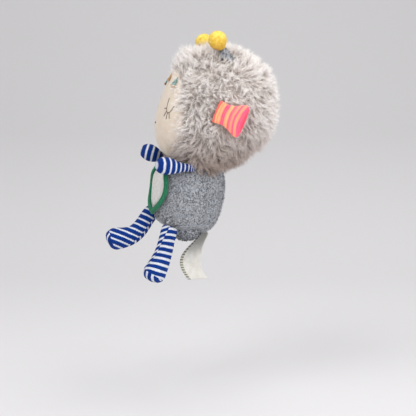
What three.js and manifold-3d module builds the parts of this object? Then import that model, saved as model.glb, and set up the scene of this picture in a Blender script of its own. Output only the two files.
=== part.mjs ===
// A stuffed plush alien: fur head with a smooth face, two ears, two ball-tipped antennae,
// a barrel body with a rimmed belly panel, two arms, two legs and a folded sewn-in label.
// Millimetres, +Z up. The toy faces -Y and its left side is +X.
// The origin is on the body's axis at the height where a stand grips its waist.
import * as THREE from "three";
import { mergeVertices } from "three/addons/utils/BufferGeometryUtils.js";
import Module from "manifold-3d";

// Clearances
const SEWN_GAP = 0.3; // between two pieces that are sewn together
const FACET_GAP = 0.6; // over a faceted round form
const SOCKET_GAP = 0.5; // round a ball or roll that turns in its seat

// Body: a barrel, round in plan
const BODY_RADIUS = 34.5;
const BODY_TOP = 18;
const BODY_BOTTOM = -54;
const BODY_SQUARENESS = 2.2; // 2 is a circle

// Seat lobe under the body
const SEAT_WIDTH = 34;
const SEAT_DEPTH = 30;
const SEAT_FORWARD = 3;
const SEAT_DROP = 7; // how far it hangs below the body
const SEAT_HEIGHT = 28;

// Head: the furry hood, with the pile's soft bulk
const HEAD_WIDTH = 114;
const HEAD_DEPTH = 115;
const HEAD_HEIGHT = 117;
const HEAD_BACK = 28.2; // how far the head's middle lies behind the body's axis
const HEAD_RISE = 65.5;
const NAPE_FLATTENING = 0.09; // how far the lower back of the head is drawn in, as a share
const HEAD_TURN_DEG = 9; // to the toy's own right
const HOOD_EDGE = 38; // from the head's middle forward to the edge of the fur

// Neck: a stuffed ball that the head nods on
const NECK_RADIUS = 13;
const NECK_BACK = 5.7;
const NECK_RISE = 9;
const NOD_DEG = [-12, 5]; // back and forward

// Face: a smooth dome in front of the hood, fullest below its middle
const FACE_WIDTH = 80;
const FACE_HEIGHT = 84;
const FACE_BULGE = 21.7;
const FOREHEAD_SLOPE = 0.4; // how much of the bulge is lost towards the hairline
const FACE_DROP = 5; // the face's middle below the head's middle
const FACE_CHIN_SHIFT = 11; // how far the fullest point sits below the face's middle

// Brow triangles
const BROW_SIZE = 9.5;
const BROW_THICKNESS = 1;
const BROW_RISE = 35; // above the face's middle
const BROW_DROP = 5; // how much lower the outer two sit
const BROW_SPACING = 0.275 * FACE_WIDTH;

// Ears
const EAR_LENGTH = 28;
const EAR_BASE_WIDTH = 22;
const EAR_TIP_WIDTH = 34;
const EAR_THICKNESS = 7;
const EAR_ROOT_RADIUS = 3.2;
const EAR_FORWARD = 13.3; // the root's place ahead of the head's middle
const EAR_RISE = 1.5; // and above it
const EAR_LEAN_DEG = 23; // the root line's lean
const EAR_SPREAD_DEG = 9; // how far the ear follows the head's side outward

// Antennae
const STALK_RADIUS = 5.2;
const STALK_LENGTH = 12.2;
const BALL_RADIUS = 8.6;
const BALL_NECK_RADIUS = 3.4;
const BALL_NECK_LENGTH = 1.6;
const ANTENNA_SPACING = 60;
const ANTENNA_BACK = 5; // behind the head's middle
const ANTENNA_SINK = 4.5; // how deep the stalk's foot sits in the pile
const ANTENNA_LEFT_LEAN = [28, -3]; // degrees forward, outward
const ANTENNA_RIGHT_LEAN = [36, -13];
const ANTENNA_SWING_DEG = [-35, 5]; // back and forward from where it rests

// Arms
const ARM_LENGTH = 37; // shoulder joint to fingertip
const HAND_RADIUS = 8.8;
const WRIST_RADIUS = 6;
const SHOULDER_RADIUS = 4.6;
const SHOULDER_INSET = 0.5; // the joint's middle inside the body's widest line
const SHOULDER_FORWARD = 6.8;
const SHOULDER_RISE = 12;
const ARM_INWARD_DEG = 14;
const ARM_LEFT_RAISE_DEG = 8;
const ARM_RIGHT_RAISE_DEG = 23.5;

// Legs
const LEG_LENGTH = 52; // hip joint to sole
const FOOT_RADIUS = 11.4;
const SHIN_RADIUS = 9;
const HIP_RADIUS = 7.8;
const HIP_STAND_OFF = 5.8; // the joint's middle outside the body's skin
const HIP_SPREAD_DEG = 36; // round from the front
const HIP_LEFT_RISE = 8.5; // above the body's bottom
const HIP_RIGHT_RISE = 19;
const LEG_LEFT_FORWARD_DEG = 22; // from hanging
const LEG_LEFT_OUTWARD_DEG = 4;
const LEG_RIGHT_FORWARD_DEG = 58;
const LEG_RIGHT_OUTWARD_DEG = 16;
const LEG_LEFT_BEND = 2.5; // how far its middle bows out to the heel side
const LEG_RIGHT_BEND = 8.5;

// Belly panel and its padded rim
const BELLY_HALF_WIDTH = 20.5;
const BELLY_TOP = 13;
const BELLY_TIP = -30.5;
const RIM_WIDTH = 5;
const RIM_THICKNESS = 2.6;
const PANEL_THICKNESS = 1.2;

// Folded label
const LABEL_WIDTH = 20;
const LABEL_LENGTH = 47;
const LABEL_THICKNESS = 0.9;
const LABEL_BACK = 15.7;
const LABEL_RISE = 1.2; // its sewn edge above the body's lowest point
const LABEL_TWIST_DEG = 80; // from its sewn edge to its free end
const LABEL_CURL = 15; // how far forward it hangs at half its length

const wasm = await Module();
wasm.setup();

const radians = THREE.MathUtils.degToRad;

// Geometry to solid and back

function toSolid(geometry) {
  const bare = geometry.clone();
  bare.deleteAttribute("normal");
  bare.deleteAttribute("uv");
  const merged = mergeVertices(bare, 1e-4);
  return new wasm.Manifold(
    new wasm.Mesh({
      numProp: 3,
      vertProperties: new Float32Array(merged.attributes.position.array),
      triVerts: new Uint32Array(merged.index.array),
    }),
  );
}

function toGeometry(solid) {
  const mesh = solid.getMesh();
  const geometry = new THREE.BufferGeometry();
  geometry.setAttribute("position", new THREE.BufferAttribute(mesh.vertProperties, 3));
  geometry.setIndex(new THREE.BufferAttribute(mesh.triVerts, 1));
  geometry.computeVertexNormals();
  return geometry;
}

function named(name, geometry, material) {
  const mesh = new THREE.Mesh(geometry, material);
  mesh.name = name;
  return mesh;
}

// Materials

function cloth(color, roughness = 0.95) {
  return new THREE.MeshStandardMaterial({ color, roughness, metalness: 0 });
}

const furGrey = () => cloth(0xb9b2af);
const faceCream = () => cloth(0xe1d7c8, 0.85);
const pileGrey = () => cloth(0x969ba3);
const seatGrey = () => cloth(0x858a92);
const stripedKnit = () => cloth(0x3c4f8a);
const earPink = () => cloth(0xff6a80, 0.85);
const ballYellow = () => cloth(0xf0d250);
const feltGreen = () => cloth(0x2d7350);
const panelSilver = () => cloth(0xc4c4c6, 0.7);
const browTeal = () => cloth(0x7da5a0, 0.8);
const browGold = () => cloth(0xb48a4a, 0.8);
const labelWhite = () => cloth(0xeeece0, 0.6);

// Forms

// A form turned round its own Z axis, from [radius, height] points that a smooth curve joins.
function turned(points, steps, sides) {
  const curve = new THREE.SplineCurve(points.map(([r, z]) => new THREE.Vector2(r, z)));
  const profile = curve.getPoints(steps).map((p) => new THREE.Vector2(Math.max(p.x, 0), p.y));
  profile[0].x = 0;
  profile[profile.length - 1].x = 0;
  const geometry = new THREE.LatheGeometry(profile, sides);
  geometry.rotateX(Math.PI / 2);
  return geometry;
}

// A ball stretched to three radii.
function ellipsoid(rx, ry, rz, sides = 36, rings = 22) {
  const geometry = new THREE.SphereGeometry(1, sides, rings);
  geometry.rotateX(Math.PI / 2);
  geometry.scale(rx, ry, rz);
  return geometry;
}

// Moves every vertex by a function of its place.
function bend(geometry, move) {
  const place = geometry.attributes.position;
  const point = new THREE.Vector3();
  for (let i = 0; i < place.count; i += 1) {
    point.fromBufferAttribute(place, i);
    move(point);
    place.setXYZ(i, point.x, point.y, point.z);
  }
  geometry.computeVertexNormals();
  return geometry;
}

// Body

// The barrel's radius at each height: shoulders, waist and a rounded bottom.
const bodyProfile = [
  [0, BODY_BOTTOM],
  [BODY_RADIUS * 0.4, BODY_BOTTOM + 0.8],
  [BODY_RADIUS * 0.73, BODY_BOTTOM + 7],
  [BODY_RADIUS * 0.91, BODY_BOTTOM + 16],
  [BODY_RADIUS * 0.98, BODY_BOTTOM + 28],
  [BODY_RADIUS, BODY_BOTTOM + 42],
  [BODY_RADIUS * 0.985, BODY_TOP - 16],
  [BODY_RADIUS * 0.87, BODY_TOP - 9],
  [BODY_RADIUS * 0.67, BODY_TOP - 2.5],
  [BODY_RADIUS * 0.4, BODY_TOP - 0.3],
  [0, BODY_TOP],
];

function bodyForm() {
  const form = turned(bodyProfile, 22, 32);
  return bend(form, (p) => {
    const r = Math.hypot(p.x, p.y);
    if (r < 1e-6) return;
    const c = Math.abs(p.x / r);
    const s = Math.abs(p.y / r);
    const k = (c ** BODY_SQUARENESS + s ** BODY_SQUARENESS) ** (-1 / BODY_SQUARENESS);
    p.x *= k;
    p.y *= k;
  });
}

// The barrel's radius at a height, read off the same profile curve.
const bodyCurve = new THREE.SplineCurve(bodyProfile.map(([r, z]) => new THREE.Vector2(r, z)));
const bodyCurvePoints = bodyCurve.getPoints(200);

function bodyRadiusAt(z) {
  for (let i = 1; i < bodyCurvePoints.length; i += 1) {
    const a = bodyCurvePoints[i - 1];
    const b = bodyCurvePoints[i];
    if (z <= b.y) return THREE.MathUtils.lerp(a.x, b.x, (z - a.y) / (b.y - a.y));
  }
  return 0;
}

// The point on the body's front at a given X and Z, lifted off along the surface's own normal.
function bodyFront(x, z, lift) {
  const depth = (u, w) => {
    const r = bodyRadiusAt(w);
    return (r ** BODY_SQUARENESS - Math.abs(u) ** BODY_SQUARENESS) ** (1 / BODY_SQUARENESS);
  };
  const step = 0.5;
  const y = -depth(x, z);
  const slopeX = -(depth(x + step, z) - depth(x - step, z)) / (2 * step);
  const slopeZ = -(depth(x, z + step) - depth(x, z - step)) / (2 * step);
  const normal = new THREE.Vector3(slopeX, -1, slopeZ).normalize();
  return new THREE.Vector3(x, y, z).addScaledVector(normal, lift);
}

// Joint places, shared by the pieces on both sides of each joint

const neck = new THREE.Vector3(0, NECK_BACK, NECK_RISE);
const headMiddle = new THREE.Vector3(0, HEAD_BACK, HEAD_RISE);
const sides = [
  { name: "left", sign: 1 },
  { name: "right", sign: -1 },
];
const shoulder = (sign) =>
  new THREE.Vector3(sign * (BODY_RADIUS - SHOULDER_INSET), -SHOULDER_FORWARD, SHOULDER_RISE);

function hip(sign) {
  const z = BODY_BOTTOM + (sign > 0 ? HIP_LEFT_RISE : HIP_RIGHT_RISE);
  const out = bodyRadiusAt(z) + HIP_STAND_OFF;
  const spread = radians(HIP_SPREAD_DEG);
  return new THREE.Vector3(sign * out * Math.sin(spread), -out * Math.cos(spread), z);
}

function ballSolid(centre, radius, segments = 20) {
  const ball = ellipsoid(radius, radius, radius, segments, Math.round(segments * 0.67));
  ball.translate(centre.x, centre.y, centre.z);
  return toSolid(ball);
}

// The head's outer bulk grown by a clearance, nodded through an angle about the neck.
function nodded(angleDeg, clearance) {
  const bulk = ellipsoid(
    HEAD_WIDTH / 2 + clearance,
    HEAD_DEPTH / 2 + clearance,
    HEAD_HEIGHT / 2 + clearance,
  );
  const face = ellipsoid(
    FACE_WIDTH / 2 + clearance,
    FACE_BULGE + clearance,
    FACE_HEIGHT / 2 + clearance,
  );
  bend(face, faceDome);
  face.translate(0, -HOOD_EDGE, -FACE_DROP);
  const [bulkSolid, faceSolidGrown] = [bulk, face].map((form) => {
    form.rotateZ(-radians(HEAD_TURN_DEG));
    form.translate(headMiddle.x, headMiddle.y - neck.y, headMiddle.z - neck.z);
    form.rotateX(radians(angleDeg));
    form.translate(0, neck.y, neck.z);
    return toSolid(form);
  });
  return bulkSolid.add(faceSolidGrown);
}

function bodySolid() {
  let body = toSolid(bodyForm());
  for (const angle of [...NOD_DEG, 0]) {
    body = body.subtract(nodded(angle, FACET_GAP));
  }
  body = body.add(ballSolid(neck, NECK_RADIUS));
  for (const { sign } of sides) {
    body = body.subtract(ballSolid(shoulder(sign), SHOULDER_RADIUS + SOCKET_GAP));
    body = body.subtract(ballSolid(hip(sign), HIP_RADIUS + SOCKET_GAP));
  }
  return body;
}

function seatSolid() {
  const lobe = ellipsoid(SEAT_WIDTH / 2, SEAT_DEPTH / 2, SEAT_HEIGHT / 2, 24, 14);
  bend(lobe, (p) => {
    const down = THREE.MathUtils.clamp((2 * p.z) / SEAT_HEIGHT, -1, 1);
    const fuller = Math.sqrt((1 - down ** 4) / Math.max(1 - down ** 2, 1e-6));
    p.x *= Math.min(fuller, 1.5);
    p.y *= Math.min(fuller, 1.5);
  });
  lobe.translate(0, -SEAT_FORWARD, BODY_BOTTOM - SEAT_DROP + SEAT_HEIGHT / 2);
  const grown = bodyForm();
  grown.translate(0, 0, -SEWN_GAP);
  return toSolid(lobe).subtract(toSolid(grown));
}

// Belly

// The leaf outline of the belly panel: pointed below, round above, as [x, z] points.
function bellyOutline(halfWidth, top, tip) {
  const widest = tip + (top - tip) * 0.6;
  const leaf = new THREE.Path();
  leaf.moveTo(0, tip);
  leaf.bezierCurveTo(halfWidth * 0.5, tip + 5, halfWidth, widest - 15, halfWidth, widest);
  leaf.bezierCurveTo(halfWidth, widest + 9, halfWidth * 0.6, top, 0, top);
  leaf.bezierCurveTo(-halfWidth * 0.6, top, -halfWidth, widest + 9, -halfWidth, widest);
  leaf.bezierCurveTo(-halfWidth, widest - 15, -halfWidth * 0.5, tip + 5, 0, tip);
  return leaf.getSpacedPoints(40).slice(0, 40);
}

// A padded cord that follows the outline over the body's front and closes on itself.
function bellyRim() {
  const across = 6;
  const centres = bellyOutline(BELLY_HALF_WIDTH, BELLY_TOP, BELLY_TIP).map((p) =>
    bodyFront(p.x, p.y, RIM_THICKNESS / 2 + FACET_GAP),
  );
  const count = centres.length;
  const vertices = [];
  const indices = [];
  for (let i = 0; i < count; i += 1) {
    const along = centres[(i + 1) % count].clone().sub(centres[(i + count - 1) % count]);
    along.normalize();
    const out = centres[i].clone().setZ(0).normalize();
    const side = new THREE.Vector3().crossVectors(along, out).normalize();
    out.crossVectors(side, along).normalize();
    for (let k = 0; k < across; k += 1) {
      const a = (2 * Math.PI * k) / across;
      const p = centres[i].clone();
      p.addScaledVector(out, (RIM_THICKNESS / 2) * Math.cos(a));
      p.addScaledVector(side, (RIM_WIDTH / 2) * Math.sin(a));
      vertices.push(p.x, p.y, p.z);
    }
    for (let k = 0; k < across; k += 1) {
      const a = i * across + k;
      const b = i * across + ((k + 1) % across);
      const c = ((i + 1) % count) * across + k;
      const d = ((i + 1) % count) * across + ((k + 1) % across);
      indices.push(a, b, c, b, d, c);
    }
  }
  const geometry = new THREE.BufferGeometry();
  geometry.setAttribute("position", new THREE.Float32BufferAttribute(vertices, 3));
  geometry.setIndex(indices);
  geometry.computeVertexNormals();
  return geometry;
}

// A thin patch that fills the rim and follows the body's front.
function bellyPanel() {
  const inset = RIM_WIDTH / 2 + SEWN_GAP + 0.4;
  const outline = bellyOutline(
    BELLY_HALF_WIDTH - inset,
    BELLY_TOP - inset,
    BELLY_TIP + inset * 1.8,
  );
  const middleZ = (BELLY_TOP + BELLY_TIP) / 2;
  const rings = 4;
  const count = outline.length;
  const vertices = [];
  const indices = [];
  const layers = [FACET_GAP + PANEL_THICKNESS, FACET_GAP];
  for (const lift of layers) {
    const middle = bodyFront(0, middleZ, lift);
    vertices.push(middle.x, middle.y, middle.z);
    for (let ring = 1; ring <= rings; ring += 1) {
      for (const p of outline) {
        const share = ring / rings;
        const x = p.x * share;
        const z = middleZ + (p.y - middleZ) * share;
        const v = bodyFront(x, z, lift);
        vertices.push(v.x, v.y, v.z);
      }
    }
  }
  const layerSize = 1 + rings * count;
  const at = (layer, ring, k) =>
    layer * layerSize + (ring === 0 ? 0 : 1 + (ring - 1) * count + (k % count));
  for (let k = 0; k < count; k += 1) {
    for (let layer = 0; layer < 2; layer += 1) {
      const face = (a, b, c) => indices.push(...(layer === 0 ? [a, b, c] : [a, c, b]));
      face(at(layer, 0, 0), at(layer, 1, k), at(layer, 1, k + 1));
      for (let ring = 1; ring < rings; ring += 1) {
        const a = at(layer, ring, k);
        const b = at(layer, ring, k + 1);
        const c = at(layer, ring + 1, k);
        const d = at(layer, ring + 1, k + 1);
        face(a, c, d);
        face(a, d, b);
      }
    }
    const a = at(0, rings, k);
    const b = at(0, rings, k + 1);
    const c = at(1, rings, k);
    const d = at(1, rings, k + 1);
    indices.push(a, c, d, a, d, b);
  }
  const geometry = new THREE.BufferGeometry();
  geometry.setAttribute("position", new THREE.Float32BufferAttribute(vertices, 3));
  geometry.setIndex(indices);
  geometry.computeVertexNormals();
  return geometry;
}

// Head

// Draws in the lower back of the head, most of all half way round from its back to its bottom.
function drawnInNape(p) {
  const back = Math.max(0, (2 * p.y) / HEAD_DEPTH);
  const low = Math.max(0, (-2 * p.z) / HEAD_HEIGHT);
  p.multiplyScalar(1 - NAPE_FLATTENING * 2 * back * low);
}

function hoodSolid() {
  const bulk = bend(ellipsoid(HEAD_WIDTH / 2, HEAD_DEPTH / 2, HEAD_HEIGHT / 2), drawnInNape);
  const front = new THREE.BoxGeometry(2 * HEAD_WIDTH, HEAD_DEPTH, 2 * HEAD_HEIGHT);
  front.translate(0, -HOOD_EDGE - HEAD_DEPTH / 2, 0);
  let hood = toSolid(bulk).subtract(toSolid(front));
  const turn = radians(HEAD_TURN_DEG);
  const neckInHead = neck.clone().sub(headMiddle).applyAxisAngle(new THREE.Vector3(0, 0, 1), turn);
  hood = hood.subtract(ballSolid(neckInHead, NECK_RADIUS + SOCKET_GAP));
  for (const { sign } of sides) {
    hood = hood.subtract(earRootSolid(sign, SOCKET_GAP));
    hood = hood.subtract(antennaRoom(sign));
  }
  return hood;
}

// The share of the bulge that is left at a height, given as a share from the middle to the hairline.
function foreheadLeft(height) {
  return 1 - FOREHEAD_SLOPE * Math.max(height, 0) ** 1.3;
}

// Pushes a half ball's fullest point down towards the chin and lets its forehead fall back.
function faceDome(point) {
  const out = Math.max(-point.y / FACE_BULGE, 0);
  if (out > 0) point.y *= foreheadLeft((2 * point.z) / FACE_HEIGHT);
  point.z -= FACE_CHIN_SHIFT * out * out;
}

function faceSolid() {
  const dome = ellipsoid(FACE_WIDTH / 2, FACE_BULGE, FACE_HEIGHT / 2, 40, 28);
  const back = new THREE.BoxGeometry(2 * FACE_WIDTH, 2 * FACE_BULGE, 2 * FACE_HEIGHT);
  back.translate(0, FACE_BULGE - SEWN_GAP, 0);
  const cap = toGeometry(toSolid(dome).subtract(toSolid(back)));
  bend(cap, faceDome);
  cap.translate(0, -HOOD_EDGE, -FACE_DROP);
  return toSolid(cap);
}

// A point on the face at a given X and rise from the face's middle, in the head's frame.
function facePoint(x, rise) {
  const r2 = (2 * x) ** 2 / FACE_WIDTH ** 2;
  let v = rise;
  let out = 0;
  for (let i = 0; i < 20; i += 1) {
    out = Math.sqrt(Math.max(0, 1 - r2 - (2 * v) ** 2 / FACE_HEIGHT ** 2));
    v = rise + FACE_CHIN_SHIFT * out * out;
  }
  const depth = FACE_BULGE * out * foreheadLeft((2 * v) / FACE_HEIGHT);
  return new THREE.Vector3(x, -HOOD_EDGE - depth, -FACE_DROP + rise);
}

function browTriangle() {
  const shape = new THREE.Shape();
  shape.moveTo(-BROW_SIZE / 2, 0);
  shape.lineTo(BROW_SIZE / 2, 0);
  shape.lineTo(0, BROW_SIZE);
  shape.closePath();
  const plate = new THREE.ExtrudeGeometry(shape, {
    depth: BROW_THICKNESS,
    bevelEnabled: false,
  });
  plate.translate(0, -BROW_SIZE / 3, 0);
  return plate;
}

// Stands a plate on the face, its own Z along the surface's normal and its Y up the brow.
function placeOnFace(mesh, x, rise) {
  const step = 2;
  const p = facePoint(x, rise);
  const across = facePoint(x + step, rise).sub(facePoint(x - step, rise));
  const up = facePoint(x, rise + step).sub(facePoint(x, rise - step));
  const normal = new THREE.Vector3().crossVectors(across, up).normalize();
  if (normal.y > 0) normal.negate();
  const right = new THREE.Vector3().crossVectors(up, normal).normalize();
  const top = new THREE.Vector3().crossVectors(normal, right).normalize();
  mesh.quaternion.setFromRotationMatrix(new THREE.Matrix4().makeBasis(right, top, normal));
  mesh.position.copy(p).addScaledVector(normal, FACET_GAP);
}

// Ears

// The middle of an ear's root line, just outside the head's side, in the head's frame.
function earRoot(sign) {
  const y = -EAR_FORWARD;
  const flat = Math.sqrt(1 - (2 * y) ** 2 / HEAD_DEPTH ** 2);
  return new THREE.Vector3(sign * ((HEAD_WIDTH / 2) * flat + EAR_ROOT_RADIUS * 0.7), y, EAR_RISE);
}

function placeEar(object, sign) {
  object.position.copy(earRoot(sign));
  object.rotation.set(-radians(EAR_LEAN_DEG), 0, sign * -radians(EAR_SPREAD_DEG));
}

// The stuffed roll along an ear's root line.
function earRoll(clearance) {
  const roll = new THREE.CapsuleGeometry(
    EAR_ROOT_RADIUS + clearance,
    EAR_BASE_WIDTH - 2 * EAR_ROOT_RADIUS,
    4,
    14,
  );
  return roll.rotateX(Math.PI / 2);
}

// The roll where it lies in its groove of the head.
function earRootSolid(sign, clearance) {
  const roll = earRoll(clearance);
  const holder = new THREE.Object3D();
  placeEar(holder, sign);
  holder.updateMatrix();
  roll.applyMatrix4(holder.matrix);
  return toSolid(roll);
}

// A flared stuffed fan that widens from its root and lies back along the head.
function earGeometry() {
  const overlap = EAR_ROOT_RADIUS * 0.6;
  const fan = ellipsoid(EAR_THICKNESS / 2, 1, 0.5, 28, 14);
  return bend(fan, (p) => {
    const share = (p.y + 1) / 2;
    const flare = THREE.MathUtils.smoothstep(share, 0.15, 0.85);
    const width = THREE.MathUtils.lerp(EAR_BASE_WIDTH * 0.93, EAR_TIP_WIDTH, flare);
    const fuller = Math.sqrt((1 - p.y ** 6) / Math.max(1 - p.y ** 2, 1e-6));
    p.z *= width * Math.min(fuller, 1.6);
    p.y = share * (EAR_LENGTH + overlap) - overlap;
  });
}

function earSolid(sign) {
  const roll = earRoll(0);
  const holder = new THREE.Object3D();
  placeEar(holder, sign);
  holder.updateMatrix();
  const bulk = ellipsoid(
    HEAD_WIDTH / 2 + FACET_GAP,
    HEAD_DEPTH / 2 + FACET_GAP,
    HEAD_HEIGHT / 2 + FACET_GAP,
  );
  bulk.applyMatrix4(holder.matrix.invert());
  return toSolid(earGeometry()).subtract(toSolid(bulk)).add(toSolid(roll));
}

// Antennae

// The middle of a stalk's round foot, sunk in the crown's pile, in the head's frame.
function antennaFoot(sign) {
  const x = (sign * ANTENNA_SPACING) / 2;
  const y = ANTENNA_BACK;
  const flat = 1 - (2 * x) ** 2 / HEAD_WIDTH ** 2 - (2 * y) ** 2 / HEAD_DEPTH ** 2;
  return new THREE.Vector3(x, y, (HEAD_HEIGHT / 2) * Math.sqrt(flat) - ANTENNA_SINK);
}

function placeAntenna(object, sign, swingDeg = 0) {
  const [forward, outward] = sign > 0 ? ANTENNA_LEFT_LEAN : ANTENNA_RIGHT_LEAN;
  object.position.copy(antennaFoot(sign));
  object.rotation.set(radians(forward + swingDeg), sign * radians(outward), 0);
}

// The flared room in the pile that a stalk needs to sway in.
function antennaRoom(sign) {
  const [back, front] = ANTENNA_SWING_DEG;
  const radius = STALK_RADIUS + SOCKET_GAP;
  const depth = 2 * STALK_RADIUS + ANTENNA_SINK;
  const mouth = radius + depth * Math.tan(radians((front - back) / 2));
  const room = new THREE.LatheGeometry(
    [
      new THREE.Vector2(0, -radius),
      new THREE.Vector2(radius * 0.5, -radius * 0.87),
      new THREE.Vector2(radius * 0.87, -radius * 0.5),
      new THREE.Vector2(radius, 0),
      new THREE.Vector2(mouth, depth),
      new THREE.Vector2(0, depth),
    ],
    18,
  );
  room.rotateX(Math.PI / 2);
  const holder = new THREE.Object3D();
  placeAntenna(holder, sign, (back + front) / 2);
  holder.updateMatrix();
  return toSolid(room.applyMatrix4(holder.matrix));
}

function stalkGeometry() {
  const r = STALK_RADIUS;
  return turned(
    [
      [0, -r],
      [r * 0.72, -r * 0.7],
      [r, 0],
      [r * 0.96, STALK_LENGTH * 0.45],
      [r * 0.9, STALK_LENGTH * 0.75],
      [r * 0.6, STALK_LENGTH * 0.97],
      [0, STALK_LENGTH],
    ],
    12,
    16,
  );
}

// The ball, with the short drawn-in neck where it is tied to the stalk.
function ballGeometry() {
  const middle = BALL_NECK_LENGTH + BALL_RADIUS * 0.93;
  const points = [
    [0, 0],
    [BALL_NECK_RADIUS * 0.8, 0.2],
    [BALL_NECK_RADIUS, BALL_NECK_LENGTH * 0.7],
  ];
  for (const degrees of [35, 60, 90, 120, 150, 180]) {
    const a = radians(degrees);
    points.push([BALL_RADIUS * Math.sin(a), middle - BALL_RADIUS * Math.cos(a)]);
  }
  return turned(points, 16, 18);
}

// Limbs

function armGeometry() {
  return turned(
    [
      [0, -SHOULDER_RADIUS],
      [SHOULDER_RADIUS * 0.72, -SHOULDER_RADIUS * 0.69],
      [SHOULDER_RADIUS, 0],
      [SHOULDER_RADIUS * 0.94, ARM_LENGTH * 0.15],
      [WRIST_RADIUS * 0.92, ARM_LENGTH * 0.36],
      [HAND_RADIUS * 0.92, ARM_LENGTH * 0.58],
      [HAND_RADIUS, ARM_LENGTH * 0.75],
      [HAND_RADIUS * 0.74, ARM_LENGTH * 0.93],
      [0, ARM_LENGTH],
    ],
    18,
    20,
  );
}

// A leg that widens to its foot and bows out to the heel side.
function legGeometry(bow) {
  const leg = turned(
    [
      [0, -HIP_RADIUS],
      [HIP_RADIUS * 0.72, -HIP_RADIUS * 0.69],
      [HIP_RADIUS, 0],
      [HIP_RADIUS * 1.04, LEG_LENGTH * 0.18],
      [SHIN_RADIUS, LEG_LENGTH * 0.45],
      [FOOT_RADIUS * 0.95, LEG_LENGTH * 0.74],
      [FOOT_RADIUS, LEG_LENGTH * 0.85],
      [FOOT_RADIUS * 0.72, LEG_LENGTH * 0.96],
      [0, LEG_LENGTH],
    ],
    20,
    20,
  );
  return bend(leg, (p) => {
    const share = THREE.MathUtils.clamp(p.z / LEG_LENGTH, 0, 1);
    const wave = Math.max(Math.sin(Math.PI * share), 0);
    const slope = (bow * 1.5 * Math.sqrt(wave) * Math.cos(Math.PI * share) * Math.PI) / LEG_LENGTH;
    const across = p.y / Math.hypot(1, slope);
    p.y = across - bow * wave ** 1.5;
    p.z += across * slope;
  });
}

// Points a limb's own +Z forward (-Y), raised above level and turned in towards the middle.
function aimForward(object, sign, raiseDeg, inwardDeg) {
  const raise = radians(raiseDeg);
  const inward = radians(inwardDeg);
  const aim = new THREE.Vector3(
    -sign * Math.sin(inward) * Math.cos(raise),
    -Math.cos(inward) * Math.cos(raise),
    Math.sin(raise),
  );
  object.quaternion.setFromUnitVectors(new THREE.Vector3(0, 0, 1), aim);
}

// Label

// One folded strip of ribbon. Its sewn edge runs across the toy; it twists and curls as it hangs.
function labelGeometry() {
  const strip = new THREE.BoxGeometry(LABEL_WIDTH, LABEL_THICKNESS, LABEL_LENGTH, 3, 1, 16);
  strip.translate(0, 0, -LABEL_LENGTH / 2);
  return bend(strip, (p) => {
    const share = -p.z / LABEL_LENGTH;
    const turn = radians(LABEL_TWIST_DEG) * THREE.MathUtils.smoothstep(share, 0.08, 0.82);
    const forward = LABEL_CURL * Math.sin(Math.PI * Math.max(share, 0) * 0.8) ** 1.5;
    const x = p.x * Math.cos(turn) - p.y * Math.sin(turn);
    const y = p.x * Math.sin(turn) + p.y * Math.cos(turn);
    p.x = x;
    p.y = y - forward;
  });
}

// Assembly

const alien = new THREE.Group();

alien.add(named("body", toGeometry(bodySolid()), pileGrey()));
alien.add(named("seat", toGeometry(seatSolid()), seatGrey()));
alien.add(named("belly_rim", bellyRim(), feltGreen()));
alien.add(named("belly_panel", bellyPanel(), panelSilver()));

const head = new THREE.Group();
head.position.copy(headMiddle);
head.rotation.z = -radians(HEAD_TURN_DEG);
alien.add(head);
head.add(named("head", toGeometry(hoodSolid()), furGrey()));
head.add(named("face", toGeometry(faceSolid()), faceCream()));

for (const [name, place, material] of [
  ["brow_left", 1, browTeal()],
  ["brow_middle", 0, browGold()],
  ["brow_right", -1, browTeal()],
]) {
  const brow = named(name, browTriangle(), material);
  placeOnFace(brow, place * BROW_SPACING, BROW_RISE - Math.abs(place) * BROW_DROP);
  head.add(brow);
}

for (const { name, sign } of sides) {
  const ear = named("ear_" + name, toGeometry(earSolid(sign)), earPink());
  placeEar(ear, sign);
  head.add(ear);

  const antenna = new THREE.Group();
  placeAntenna(antenna, sign);
  antenna.add(named("antenna_stalk_" + name, stalkGeometry(), pileGrey()));
  const ball = named("antenna_ball_" + name, ballGeometry(), ballYellow());
  ball.position.z = STALK_LENGTH + SEWN_GAP;
  antenna.add(ball);
  head.add(antenna);

  const arm = named("arm_" + name, armGeometry(), stripedKnit());
  arm.position.copy(shoulder(sign));
  aimForward(arm, sign, sign > 0 ? ARM_LEFT_RAISE_DEG : ARM_RIGHT_RAISE_DEG, ARM_INWARD_DEG);
  alien.add(arm);

  const bow = sign > 0 ? LEG_LEFT_BEND : LEG_RIGHT_BEND;
  const leg = named("leg_" + name, legGeometry(bow), stripedKnit());
  const lift = sign > 0 ? LEG_LEFT_FORWARD_DEG : LEG_RIGHT_FORWARD_DEG;
  const splay = sign > 0 ? LEG_LEFT_OUTWARD_DEG : LEG_RIGHT_OUTWARD_DEG;
  leg.position.copy(hip(sign));
  aimForward(leg, sign, lift - 90, -splay);
  alien.add(leg);
}

const label = named("label", labelGeometry(), labelWhite());
label.position.set(0, LABEL_BACK, BODY_BOTTOM + LABEL_RISE);
alien.add(label);

export default alien;
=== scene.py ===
# %% [markdown]
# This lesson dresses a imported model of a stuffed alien: fur, pile, felt, knit and thread.
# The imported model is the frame. It is loaded first and never moved, so that every soft piece
# made here sits exactly where the frame has it and moves with the right body.

# %% Load the frame
import math
import random

import bmesh
import bpy
from mathutils import Matrix, Vector, noise
from mathutils.bvhtree import BVHTree
from mathutils.geometry import interpolate_bezier


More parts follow.
